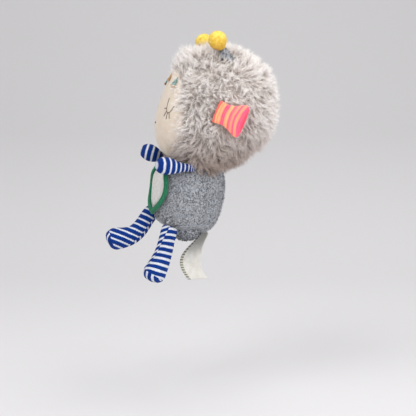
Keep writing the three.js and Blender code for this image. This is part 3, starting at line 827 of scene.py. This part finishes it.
# %% Face
FACE_HALF = Vector((40.0, 21.7, 42.0))
FACE_DROP, CHIN_SHIFT, FOREHEAD_SLOPE = 5.0, 11.0, 0.4


def forehead_left(height):
    """The share of the dome's depth that is left at a height: less towards the hairline."""
    return 1 - FOREHEAD_SLOPE * max(height, 0) ** 1.3


def face_bend(p):
    out = max(-p.y / FACE_HALF.y, 0)
    depth = p.y * forehead_left(p.z / FACE_HALF.z) if out > 0 else p.y
    return Vector((p.x, depth - HOOD_EDGE, p.z - CHIN_SHIFT * out * out - FACE_DROP))


knit = Cloth("face knit", roughness=0.8, sheen=0.25)
weave = knit.lines(260.0, "Z", 0.6) * knit.lines(320.0, "X", 0.6)
face_knit = knit.finish(knit.ramp(knit.speckle(9, 2), (0.3, "#DACAB7"), (0.7, "#E3D6C7")), weave, 0.08)
dome = egg(FACE_HALF, 80, 56)
cut_flat(dome, -0.3, 1)
sculpt(dome, face_bend)
set_at(dome, to_head)
face_out(dome)
face_piece = add_piece("face_dome", dome, face_knit, "head", "face")
stuff(face_piece, 2.0, 0.3, lambda p: (from_head @ (p * MM)).y > -(HOOD_EDGE + 2) * MM)


def on_face(x, rise, lift=0.0):
    """The place on the drawn face at X and a rise above its middle, in mm, and the normal there."""
    def spot(u, w):
        v = w
        for _ in range(20):
            out = math.sqrt(max(0, 1 - (u / FACE_HALF.x) ** 2 - (v / FACE_HALF.z) ** 2))
            v = w + CHIN_SHIFT * out * out
        return Vector((u, -HOOD_EDGE - FACE_HALF.y * out * forehead_left(v / FACE_HALF.z), w - FACE_DROP))
    across = spot(x + 1, rise) - spot(x - 1, rise)
    up = spot(x, rise + 1) - spot(x, rise - 1)
    normal = across.cross(up).normalized()
    if normal.y > 0:
        normal.negate()
    return to_head @ ((spot(x, rise) + normal * lift) * MM) / MM, to_head.to_3x3() @ normal


# %% [markdown]
# The closed eyes are sewn with a thin grey-brown thread: one long curve and four short lashes.
# Each stitch line is a curve with a round section, made a mesh. It lies on the stuffed face.

# %% Stitched eyes
thread = plain_cloth("thread", (0.8,), [(0.3, "#5F5650"), (0.7, "#857A72")], roughness=0.6)
face_surface = BVHTree.FromPolygons(
    [v.co.copy() for v in face_piece.data.vertices], [p.vertices[:] for p in face_piece.data.polygons],
)


def on_knit(x, rise, lift):
    """The place on the stuffed face, found straight below the drawn one, and lifted off it."""
    place, normal = on_face(x, rise)
    hit = face_surface.ray_cast((place + normal * 6) * MM, -normal)[0]
    return (hit if hit else place * MM) + normal * lift * MM


def stitched(name, lines, radius):
    """Thread that follows lines of (x, rise) points on the face."""
    curve = bpy.data.curves.new(name, "CURVE")
    curve.dimensions = "3D"
    curve.bevel_depth, curve.bevel_resolution = radius * MM, 2
    curve.use_fill_caps = True
    for line in lines:
        places = smooth_line([Vector((x, 0, z)) for x, z in line], 4 * (len(line) - 1))
        spline = curve.splines.new("POLY")
        spline.points.add(len(places) - 1)
        for point, p in zip(spline.points, places):
            point.co = (*on_knit(p.x, p.z, 0.1), 1)
    drawn = in_scene(name, curve)
    mesh = bpy.data.meshes.new_from_object(drawn)
    bpy.data.objects.remove(drawn)
    mesh.shade_smooth()
    dress(name, mesh, thread, "head")


EYE = [
    [(23.5, 16.5), (24, 11), (25, 6.5), (27.5, 3.6), (30.5, 3.8), (32.6, 6.5), (34, 9.8)],
    [(25, 7.5), (20.5, 7)], [(26, 5), (23, 0)], [(28, 3.6), (27.5, -2.6)], [(30.3, 3.8), (31.6, -1.8)],
]
for name, sign in (("left", 1), ("right", -1)):
    stitched("lashes_" + name, [[(sign * x, z) for x, z in line] for line in EYE], 0.4)
stitched("nose", [[(-1.2, -7), (0, -7.6), (1.2, -7)]], 0.7)

# %% [markdown]
# Three small cloth triangles with a turned golden edge sit along the hairline.

# %% Brows
BROW_SIZE, BROW_SPACING, BROW_RISE, BROW_DROP = 9.5, 22.0, 35.0, 5.0
BROWS = [("left", 1, "teal_cloth", 0.66), ("middle", 0, "gold_cloth", 0.4), ("right", -1, "teal_cloth", 0.66)]


def bevelled(bm, offset_mm):
    bmesh.ops.bevel(
        bm, geom=bm.edges[:], offset=offset_mm * MM, segments=2, profile=0.5, affect="EDGES", material=-1,
    )


brow_cloths = {
    "teal_cloth": plain_cloth(
        "teal cloth", (2,), [(0.3, "#527E7C"), (0.7, "#6E9894")], (0.4,), 0.1, roughness=0.75, sheen=0.2),
    "gold_cloth": plain_cloth(
        "gold cloth", (1,), [(0.3, "#9C7038"), (0.7, "#C79A5B")], (0.4,), 0.1, roughness=0.6, sheen=0.2),
}
for name, place, slot, tall in BROWS:
    x, rise = place * BROW_SPACING, BROW_RISE - abs(place) * BROW_DROP
    middle, normal = on_face(x, rise, 0.3)
    up = (on_face(x, rise + 1)[0] - middle).normalized()
    right = up.cross(normal).normalized()
    up = normal.cross(right).normalized()
    stand = Matrix((right, up, normal)).transposed().to_4x4()
    stand.translation = middle * MM
    plate = bmesh.new()
    corners = [(-BROW_SIZE / 2, -BROW_SIZE / 3), (BROW_SIZE / 2, -BROW_SIZE / 3), (0, BROW_SIZE * tall)]
    plate.faces.new([plate.verts.new(Vector((x, y, 0.25)) * MM) for x, y in corners])
    grown = bmesh.ops.extrude_face_region(plate, geom=plate.faces[:])["geom"]
    bmesh.ops.translate(plate, vec=(0, 0, 0.8 * MM), verts=points_of(grown))
    face_out(plate)
    bevelled(plate, 0.25)
    set_at(plate, stand)
    add_piece("brow_patch_" + name, plate, brow_cloths[slot], "head", "brow_" + name)
    hem = bmesh.new()
    bmesh.ops.create_cube(hem, size=1)
    bmesh.ops.scale(hem, vec=Vector((BROW_SIZE * 0.98, 1.5, 1.0)) * MM, verts=hem.verts)
    bevelled(hem, 0.3)
    bmesh.ops.translate(hem, vec=Vector((0, -BROW_SIZE / 3, 0.8)) * MM, verts=hem.verts)
    set_at(hem, stand)
    add_piece("brow_hem_" + name, hem, brow_cloths["gold_cloth"], "head")

# %% [markdown]
# Each ear is two striped panels sewn along a flared outline and stuffed. The outline is drawn
# once, and the swelling between its seams is worked out from the distance to the outline.

# %% Ears
EAR_THICK = 7.0
EAR_LINE = [(0, 10.8), (5, 10.2), (10.5, 9.9), (16, 11.6), (22, 14.6), (26, 15.6), (28.4, 13), (29.2, 6)]
EAR_LEAN, EAR_SPREAD, EAR_FORWARD, EAR_RISE, EAR_ROLL = 23.0, 9.0, 13.3, 1.5, 3.2
EAR_LENGTH, SEAM_WIDE = 29.0, 9
EAR_STRIPES = [
    (0.00, "#F5404A"), (0.07, "#FF6460"), (0.11, "#FFCB7C"), (0.15, "#FF8A70"), (0.20, "#FFD088"),
    (0.24, "#FF7C6E"), (0.28, "#FF3380"), (0.34, "#FF4486"), (0.38, "#FFA078"), (0.43, "#FFD084"),
    (0.47, "#FF9878"), (0.51, "#FF3282"), (0.55, "#FF6C84"), (0.59, "#FFB480"), (0.63, "#FF7E7E"),
    (0.67, "#FF308C"), (0.71, "#FF987C"), (0.76, "#FFBC80"), (0.80, "#FF468A"), (0.86, "#FF348C"),
    (0.92, "#FF4A84"), (1.00, "#FF5480"),
]


def ear_matrix(sign):
    """An ear's frame: its own Y points out from the head's side, leaning back."""
    y = -EAR_FORWARD
    flat = math.sqrt(1 - (y / HEAD_RADII.y) ** 2)
    root = Vector((sign * (HEAD_RADII.x * flat + EAR_ROLL * 0.7), y, EAR_RISE)) * MM
    turn = Matrix.Rotation(math.radians(-EAR_LEAN), 4, "X")
    spread = Matrix.Rotation(math.radians(-sign * EAR_SPREAD), 4, "Z")
    return to_head @ Matrix.Translation(root) @ turn @ spread


def ear_material(name, stand):
    """Stripes that run across the ear and bow outwards with its edge."""
    cloth = Cloth(name, roughness=0.8, sheen=0.3)
    _, y, z = cloth.place_in(stand).parts()
    along = y - z * z * 0.016 + cloth.speckle(6, 1) * 1.2
    stripes = cloth.ramp(along / EAR_LENGTH, *EAR_STRIPES)
    fine = (along * 0.62).math("PINGPONG", 0.5) * (cloth.speckle(4, 1) * 2.4 + 0.2)
    stripes = cloth.blend(fine.math("MINIMUM", 0.8), stripes, linear("#FF8A76"))
    outer = along.between(EAR_LENGTH - 4, EAR_LENGTH - 1, 0.0, 0.8)
    colour = cloth.blend(outer, stripes, linear("#FF3F5C"))
    return cloth.finish(colour, fine + cloth.speckle(0.5), 0.14)


def ear_form():
    """A flat closed outline filled with rings, then swollen on both sides."""
    right = smooth_line([Vector((0, y, z)) for y, z in EAR_LINE], 24)
    line = right + [Vector((0, p.y, -p.z)) for p in reversed(right)]
    bm = bmesh.new()
    face = bm.faces.new([bm.verts.new(p * MM) for p in line])
    rings_inwards(bm, face, (0.05, 0.09, 0.12, 0.16, 0.2, 0.28, 0.36))
    bm.verts.ensure_lookup_table()
    rim_points = [v.co.copy() for v in bm.verts if v.is_boundary]
    copy = bmesh.ops.duplicate(bm, geom=bm.verts[:] + bm.edges[:] + bm.faces[:])
    back = set(points_of(copy["geom"]))
    for v in bm.verts:
        near = min((v.co - q).length for q in rim_points) / MM
        swell = EAR_THICK / 2 * (1 - (1 - min(near / SEAM_WIDE, 1)) ** 2) ** 0.6
        v.co.x = (-swell if v in back else swell) * MM
    bmesh.ops.remove_doubles(bm, verts=bm.verts, dist=0.05 * MM)
    face_out(bm)
    return bm


for name, sign in (("left", 1), ("right", -1)):
    stand = ear_matrix(sign)
    flat = stand.inverted()
    fan = ear_form()
    set_at(fan, stand)
    cloth = ear_material("ear stripes " + name, stand)
    ear = add_piece("ear_fan_" + name, fan, cloth, "ear_" + name, "ear_" + name)
    stuff(ear, None, 0.6, lambda p: abs((flat @ (p * MM)).x) < 0.2 * MM)

# %% [markdown]
# An antenna is a stub of the body's pile with a ball of yellow wool felt tied to its tip. A short
# fuzz stands on the felt.

# %% Antennae
STALK_RADIUS, STALK_LENGTH = 4.5, 12.2
BALL_RADIUS, BALL_NECK_RADIUS, BALL_NECK = 8.6, 3.4, 1.6
ANTENNA_X, ANTENNA_BACK, ANTENNA_SINK = 30.0, 5.0, 4.5
LEANS = {"left": (28, -3), "right": (36, -13)}
STALK_OUTLINE = [
    (0, -STALK_RADIUS), (STALK_RADIUS * 0.72, -STALK_RADIUS * 0.7), (STALK_RADIUS, 0),
    (STALK_RADIUS * 0.96, STALK_LENGTH * 0.45), (STALK_RADIUS * 0.9, STALK_LENGTH * 0.75),
    (STALK_RADIUS * 0.6, STALK_LENGTH * 0.97), (0, STALK_LENGTH),
]
BALL_MIDDLE = BALL_NECK + BALL_RADIUS * 0.93
BALL_OUTLINE = [(0, 0), (BALL_NECK_RADIUS * 0.8, 0.2), (BALL_NECK_RADIUS, BALL_NECK * 0.7)] + [
    (BALL_RADIUS * math.sin(math.radians(a)), BALL_MIDDLE - BALL_RADIUS * math.cos(math.radians(a)))
    for a in (35, 60, 90, 120, 150, 180)
]

felt = Cloth("yellow felt", roughness=0.95, sheen=0.2)
grain = felt.speckle(3.2, 3, 0.65) + felt.carried("tip") * 0.12
wool = felt.ramp(grain, (0.3, "#DDB63E"), (0.5, "#F6DC62"), (0.75, "#FEF096"))
# Painted light and shade: the felt is darker where its surface faces down and fully bright where it faces up.
shade_by_facing = put(felt.tree, "NewGeometry", output="Normal").parts()[2].between(-0.8, 0.7)
wool = felt.blend(1.0, wool, felt.ramp(shade_by_facing, (0.0, "#E6C68A"), (1.0, "#FFFFFF")), "MULTIPLY")
yellow_felt = felt.finish(wool, felt.speckle(0.9, 3), 0.5)
fuzz = [lock(f"fuzz_{k}", 5, 1.0, 0.8, 0.14, 0.7, steps=2, gather=-0.3, seed=60 + k) for k in range(3)]

for name, sign in (("left", 1), ("right", -1)):
    flat = 1 - (ANTENNA_X / HEAD_RADII.x) ** 2 - (ANTENNA_BACK / HEAD_RADII.y) ** 2
    foot = Vector((sign * ANTENNA_X, ANTENNA_BACK, HEAD_RADII.z * math.sqrt(flat) - ANTENNA_SINK)) * MM
    forward, outward = (math.radians(a) for a in LEANS[name])
    turn = Matrix.Rotation(forward, 4, "X") @ Matrix.Rotation(sign * outward, 4, "Y")
    stand = to_head @ Matrix.Translation(foot) @ turn
    body = "antenna_" + name
    stub = spun(STALK_OUTLINE, 20, 28)
    set_at(stub, stand)
    stalk = add_piece("stalk_" + name, stub, body_backing, body, "antenna_stalk_" + name)
    grow("stalk_pile_" + name, brushed(stalk.data, pile_lay), curls, 1.2, body_pile, body, 7)
    pompom = spun(BALL_OUTLINE, 32, 40)
    bmesh.ops.translate(pompom, vec=(0, 0, (STALK_LENGTH + 0.3) * MM), verts=pompom.verts)
    set_at(pompom, stand)
    ball = add_piece("felt_ball_" + name, pompom, yellow_felt, body, "antenna_ball_" + name)
    grow("felt_fuzz_" + name, brushed(ball.data, pile_lay), fuzz, 0.9, yellow_felt, body, 9)

# %% [markdown]
# Arms and legs are sewn from two panels of a striped knit. The stripes run straight through each
# panel, so they meet the front seam at an angle and miss each other there. Each limb has its own
# material, which first turns the coordinates into the limb's own frame: z runs down the limb, y
# points to its upper side. The toe of a leg is a small panel with stripes the other way. The
# arms' roots sink a little into the body.

# %% Limbs
ARM_LENGTH, HAND, WRIST, SHOULDER = 37.0, 8.8, 6.0, 4.6
LEG_LENGTH, FOOT, SHIN, HIP = 52.0, 11.4, 9.0, 7.8
TOE_PANEL = 6.5
ROOT_FLATTENED = 0.55
ARM_OUTLINE = [
    (0, -SHOULDER), (SHOULDER * 0.72, -SHOULDER * 0.69), (SHOULDER, 0), (SHOULDER * 0.94, ARM_LENGTH * 0.15),
    (WRIST * 0.92, ARM_LENGTH * 0.36), (HAND * 0.92, ARM_LENGTH * 0.58), (HAND, ARM_LENGTH * 0.75),
    (HAND * 0.74, ARM_LENGTH * 0.93), (0, ARM_LENGTH),
]
LEG_OUTLINE = [
    (0, -HIP), (HIP * 0.88, -HIP * 0.78), (HIP * 1.06, 0), (HIP * 1.06, LEG_LENGTH * 0.18),
    (SHIN, LEG_LENGTH * 0.45), (FOOT * 0.95, LEG_LENGTH * 0.74), (FOOT, LEG_LENGTH * 0.85),
    (FOOT * 0.72, LEG_LENGTH * 0.96), (0, LEG_LENGTH),
]


def limb_matrix(root, sign, raise_deg, inward_deg):
    """A limb's frame: its own Z points forward, raised above level and turned inwards."""
    up, inward = math.radians(raise_deg), math.radians(inward_deg)
    aim = Vector((-sign * math.sin(inward) * math.cos(up), -math.cos(inward) * math.cos(up), math.sin(up)))
    turn = Vector((0, 0, 1)).rotation_difference(aim)
    return Matrix.Translation(Vector(root) * MM) @ turn.to_matrix().to_4x4()


def bowed(p, length, bow):
    """Bends a leg to its heel side, its sections square to the middle line, and flattens the root."""
    share = limited(p.z / length)
    wave = max(math.sin(math.pi * share), 0)
    slope = bow * 1.5 * math.sqrt(wave) * math.cos(math.pi * share) * math.pi / length
    across = p.y / math.hypot(1, slope)
    return Vector((p.x, across - bow * wave ** 1.5, p.z + across * slope - ROOT_FLATTENED * min(p.z, 0)))


def on_seam(p, seam, length):
    """Whether a point in the limb's frame lies on the front or the back seam, which winds a little
    round the limb."""
    a = math.radians(seam[0] + (seam[1] - seam[0]) * limited(p.z / length))
    return abs(p.y * math.cos(a) - p.x * math.sin(a)) < 0.9


def knit_material(name, stand, length, seam, pitch, blue_share, down, side=0.0, slopes=(0.0, 0.0),
                  arch=0.0, stretch=1, miss=0.0, toe=False):
    """Blue and white knit. Stripes run across z + down*y + side*x, where down changes from the
    root to the tip. Slopes tilt them on either side of the seam, and arch bows them on its second
    side. Below 1, stretch closes them up at the root. Miss sets one panel's stripes off, and toe
    says that the toe panel is there."""
    cloth = Cloth(name, roughness=0.85, sheen=0.04, specular=0.1)
    x, y, z = cloth.place_in(stand).parts()
    angle = z.between(0.0, length, *(math.radians(a) for a in seam))
    off = y * angle.math("COSINE") - x * angle.math("SINE")
    far, near = off.math("MAXIMUM", 0.0), off.math("MINIMUM", 0.0)
    drawn = (z.math("MAXIMUM", 0.0) / length).math("POWER", stretch) * length if stretch < 1 else z
    along = drawn + x * side + y * z.between(0.0, length, *down)
    along = along - far * slopes[0] - near * slopes[1] - near * near * arch
    along = along + off.math("GREATER_THAN", 0.0) * (z * (-1 / length) + 1.0) * miss
    if toe:
        past = (z + y * 0.25).math("GREATER_THAN", length - TOE_PANEL)
        along = put(cloth.tree, "Mix", [(0, past), (2, along), (3, x * 0.9 - y * 0.5)])
    column = (y.math("ARCTAN2", x) * 7.5).math("PINGPONG", 0.5)
    ring = ((along + cloth.speckle(7, 1) * 0.9 + column) / pitch).math("FRACT")
    blue = (ring - 0.5).math("ABSOLUTE").between(blue_share / 2 + 0.025, blue_share / 2 - 0.025)
    fibre = cloth.speckle(0.9, 3)
    dark = cloth.ramp(fibre, (0.3, "#031F66"), (0.7, "#0B4197"))
    pale = cloth.ramp(fibre, (0.3, "#C6CBD7"), (0.7, "#E9ECF3"))
    row = (z * 1.1 + column).math("PINGPONG", 0.5)
    return cloth.finish(cloth.blend(blue, pale, dark), row + column, 0.35)


ARM_RAISE, ARM_INWARD = {"left": 8, "right": 23.5}, 14
LEG_POSE = {"left": (22, 4, 2.5), "right": (58, 16, 8.5)}
ARM_SUNK, ARM_SUNK_WITHIN = Vector((3.2, 0, 1.5)), 15
LEG_PANELS = dict(miss=3.0, toe=True)
STRIPES = {
    "arm_left": dict(seam=(150, 150), pitch=4.2, blue_share=0.69, down=(-0.08, -0.08), side=0.2, stretch=0.6),
    "arm_right": dict(seam=(210, 210), pitch=6.4, blue_share=0.68, down=(-0.22, -0.22), side=-0.55,
                      stretch=0.85),
    "leg_left": dict(LEG_PANELS, seam=(36, 100), pitch=6.0, blue_share=0.61, down=(0.0, 0.0),
                     slopes=(0.75, 0.42), arch=0.02),
    "leg_right": dict(LEG_PANELS, seam=(120, 100), pitch=6.9, blue_share=0.7, down=(-0.59, -0.83), side=0.1,
                      slopes=(0.5, 0.0)),
}
for name, sign in (("left", 1), ("right", -1)):
    forward, outward, leg_bow = LEG_POSE[name]
    for kind, outline, stand, bow in (
        ("arm", ARM_OUTLINE, limb_matrix(SHOULDERS[name], sign, ARM_RAISE[name], ARM_INWARD), 0),
        ("leg", LEG_OUTLINE, limb_matrix(HIPS[name], sign, forward - 90, -outward), leg_bow),
    ):
        body, length = f"{kind}_{name}", outline[-1][1]
        stripes = STRIPES[body]
        tube = spun([(max(r - 0.5, 0), z) for r, z in outline], 36, 40)
        sculpt(tube, lambda p: bowed(p, length, bow))
        set_at(tube, stand)
        if kind == "arm":
            shoulder = Vector(SHOULDERS[name])
            sunk = Vector((-sign * ARM_SUNK.x, 0, ARM_SUNK.z))
            sculpt(tube, lambda p: p + sunk * max(0, 1 - (p - shoulder).length / ARM_SUNK_WITHIN))
        knit = knit_material(f"{kind} knit {name}", stand, length, **stripes)
        limb = add_piece(f"{kind}_sleeve_{name}", tube, knit, body, body)
        local = stand.inverted()
        stuff(limb, 1.8, 0.5, lambda p: on_seam(local @ (p * MM) / MM, stripes["seam"], length))

# %% [markdown]
# The label is a ribbon folded double, sewn in by its two ends behind the seat. It hangs, twists
# by about a right angle and curls forward. It stays blank.

# %% Label
LABEL_WIDTH, LABEL_LENGTH, LABEL_BACK, LABEL_TOP = 20.0, 47.0, 15.7, BODY_BOTTOM + 1.2
LABEL_TWIST, LABEL_CURL, LABEL_GAP = 80.0, 15.0, 0.3
LABEL_RUN = 2 * LABEL_LENGTH


def label_bend(p):
    """Takes a flat hanging strip to its twisted, curled place."""
    share = max(-p.z / LABEL_LENGTH, 0)
    t = limited((share - 0.08) / 0.74)
    turn = math.radians(LABEL_TWIST) * t * t * (3 - 2 * t)
    forward = LABEL_CURL * math.sin(math.pi * min(share, 1.01) * 0.8) ** 1.5
    x = p.x * math.cos(turn) - p.y * math.sin(turn)
    y = p.x * math.sin(turn) + p.y * math.cos(turn)
    return Vector((x, y - forward + LABEL_BACK, p.z + LABEL_TOP))


def fold(p):
    """Grid to a folded strip: down the front layer, round the fold, up the back layer."""
    x, s = p.x * MM * LABEL_WIDTH, (0.5 - p.y * MM) * LABEL_RUN
    if s < LABEL_LENGTH - 0.5:
        return label_bend(Vector((x, -LABEL_GAP, -s)))
    if s > LABEL_LENGTH + 0.5:
        return label_bend(Vector((x, LABEL_GAP, -(LABEL_RUN - s))))
    a = (s - LABEL_LENGTH + 0.5) * math.pi
    return label_bend(Vector((x, -LABEL_GAP * math.cos(a), -LABEL_LENGTH + 0.5 - LABEL_GAP * math.sin(a))))


satin = Cloth("label satin", roughness=0.45, sheen=0.2, specular=0.5)
ribs = (satin.carried("run") * 0.42).math("PINGPONG", 0.5)
plain = satin.ramp(satin.speckle(5), (0.3, "#DAD7CE"), (0.7, "#E9E7E0"))
hatched = satin.ramp(ribs + satin.speckle(0.9) * 0.5, (0.35, "#5E5D4C"), (0.6, "#D3D1C2"))
woven = satin.carried("edge").between(0.66, 0.74)
relief = ribs * woven + satin.lines(420.0, "Z")
ribbon_satin = satin.finish(satin.blend(woven, plain, hatched), relief, 0.08)

strip = bmesh.new()
bmesh.ops.create_grid(strip, x_segments=16, y_segments=120, size=0.5)
edge_layer, run_layer = (strip.verts.layers.float.new(word) for word in ("edge", "run"))
for v in strip.verts:
    v[edge_layer], v[run_layer] = -2 * v.co.x, (v.co.y + 0.5) * LABEL_RUN
sculpt(strip, fold)
label = add_piece("label_ribbon", strip, ribbon_satin, "label", "label")
thick = label.modifiers.new("thickness", "SOLIDIFY")
thick.thickness, thick.offset = 0.2 * MM, 0

# %% [markdown]
# The head's fur is long, wavy and tousled. Its backing is brushed down and outwards, forwards
# along the cheeks so that it hides the face's seam, and straight up over the forehead, where the
# fur is longest. The ears, the antennae and handling press it down. It is grown in parts, so that
# no part is too heavy.

# %% Fur
STALK_RISE, STALK_REACH = 48, 13

hair = Cloth("fur", roughness=0.8, sheen=0.8, specular=0.25)
# Painted shade: the colour along each strand darkens it towards the root, standing in for the shade in the
# gaps between locks. The locks' tone also differs at random.
tone = hair.carried("tip") * 0.62 + hair.carried("tone") * 0.33
colour = hair.ramp(tone, (0.0, "#5E5049"), (0.22, "#D6CAC3"), (0.46, "#FBF5F2"), (0.95, "#FFFEFC"))
# Painted shade: the fur is darker towards the lower part of the head, where less light falls, and fully bright
# from 52 mm up.
high = hair.place().parts()[2].between(12 * MM, 52 * MM)
painted_low_shade = hair.ramp(high, (0.0, "#BDADA5"), (1.0, "#FFFFFF"))
fur = hair.finish(hair.blend(1.0, colour, painted_low_shade, "MULTIPLY"))

fur_locks = [
    lock(f"fur_lock_{k}", 12, 11.5, 1.8, 0.28, sway, steps=5, gather=0.65, seed=20 + k, wave=0.9)
    for k, sway in enumerate((2.0, 3.4, 4.6, 2.6, 4.0, 3.0))
]
ear_frames = [ear_matrix(sign).inverted() for sign in (1, -1)]
stalk_feet = [Vector((sign * ANTENNA_X, ANTENNA_BACK, STALK_RISE)) for sign in (1, -1)]


def in_head(p):
    return from_head @ (p * MM) / MM


def under_ear(p):
    """Whether an ear presses on the fur at a place."""
    for local in ear_frames:
        q = local @ (p * MM) / MM
        if abs(q.x) < 14 and -2 < q.y < 29 and abs(q.z) < 9.5 + max(q.y - 10, 0) * 0.3:
            return 1.0
    return 0.0


def by_stalk(q):
    """How near a place in the head's frame is to an antenna's foot: 1 at the foot."""
    return max(0, 1 - min((q - foot).length for foot in stalk_feet) / STALK_REACH)


def by_face(q):
    """How near a place in the head's frame is to the face's seam: 1 at the seam."""
    return limited(1 - (q.y + HOOD_EDGE) / 12)


def fur_lay(p, n):
    q = in_head(p)
    down = Vector((0, 0.25, -1))
    down -= n * down.dot(n)
    tousle = 0.75 * noise.noise_vector(p / 12) + 0.55 * noise.noise_vector(p / 5 + Vector((9, 9, 9)))
    hair = 0.75 * n + 0.35 * down + 1.5 * tousle
    front = by_face(q)
    cheek = limited((32 - q.z) / 24)
    forward = Vector((0, -1.7, 0)) * cheek + Vector((0, 0.35, 0.6)) * (1 - cheek)
    return (hair * (1 - 0.35 * front) + front * forward).normalized()


def fur_height(p, n):
    """Longer at the nape, the jaw, the cheeks and over the forehead, and pressed down elsewhere."""
    q = in_head(p)
    underside = limited((-n.z - 0.35) / 0.4)
    nape = limited(q.y / 40) * limited((12 - q.z) / 30)
    jaw = low_front(q)
    cheek = by_face(q) * limited((30 - q.z) / 20)
    hairline = by_face(q) * limited((q.z - 14) / 8)
    crown = limited((q.z - 34) / 10) * limited((-q.y - 18) / 12)
    behind = limited((q.y - 20) / 25) * limited((26 - abs(q.z)) / 15)
    pressed = 0.6 * under_ear(p) + 0.3 * behind + 0.55 * by_stalk(q) + 0.38 * hairline
    pressed += 0.2 * underside * (1 - jaw)
    return (1 - pressed) * (1 + 0.1 * nape + 0.15 * jaw + 0.2 * cheek + 0.45 * crown)


def fur_region(side, low, high):
    """How densely the fur of one part grows."""
    def cover(p, n):
        q = in_head(p)
        if q.y < -HOOD_EDGE + 0.5 and math.hypot(q.x, q.z) < 37:
            return 0.0
        here = (q.x * side >= 0) and low <= q.y < high
        return (0.1 if by_stalk(q) > 0.55 else 1.0) if here else 0.0
    return cover


FUR_PARTS = [("front", -99, -22), ("cheek", -22, -4), ("side", -4, 14), ("back", 14, 34), ("nape", 34, 99)]
for k, (part, low, high) in enumerate(FUR_PARTS):
    for name, side in (("left", 1), ("right", -1)):
        skin = brushed(scalp.data, fur_lay, fur_region(side, low, high), fur_height)
        grow(f"fur_{part}_{name}", skin, fur_locks, 1.6, fur, "head",
             40 + 2 * k + (side > 0), wild=0.25, size=(0.85, 1.12))

# %% [markdown]
# A paper sweep stands behind. It is one line, flat and then curved up so that no edge shows, drawn
# in the camera's direction and extruded sideways. The toy hangs above it, as it does on a stand,
# and its shadow falls there softly.

# %% Paper sweep
FLOOR_HEIGHT = -0.21
SWEEP_START, SWEEP_BACK, SWEEP_TURN, SWEEP_TOP, SWEEP_WIDE = -1.6, 0.5, 0.7, 2.6, 5.0
BEND_STEPS = 12

paper = Cloth("sweep paper", roughness=0.95, specular=0.1)
# Painted light: the paper is lighter on the floor and darker up the wall, as more light falls on the floor.
rise = paper.place().parts()[2].between(FLOOR_HEIGHT, FLOOR_HEIGHT + 0.7)
profile = [(SWEEP_START, FLOOR_HEIGHT)]
for i in range(BEND_STEPS + 1):
    a = i / BEND_STEPS * math.pi / 2
    profile.append((SWEEP_BACK + SWEEP_TURN * math.sin(a), FLOOR_HEIGHT + SWEEP_TURN * (1 - math.cos(a))))
profile.append((SWEEP_BACK + SWEEP_TURN, SWEEP_TOP))
away = Vector((looking.x, looking.y, 0)).normalized()
across = Vector((-away.y, away.x, 0))
sheet = bmesh.new()
points = [sheet.verts.new(away * u + Vector((0, 0, z)) - across * SWEEP_WIDE / 2) for u, z in profile]
edges = [sheet.edges.new(pair) for pair in zip(points, points[1:])]
grown = bmesh.ops.extrude_edge_only(sheet, edges=edges)["geom"]
bmesh.ops.translate(sheet, vec=across * SWEEP_WIDE, verts=points_of(grown))
face_out(sheet)
mesh = to_mesh("sweep", sheet)
mesh.shade_smooth()
mesh.materials.append(paper.finish(paper.ramp(rise, (0.0, "#DEDDDF"), (0.25, "#CECDCF"), (1.0, "#CECDCF"))))
in_scene("sweep", mesh)
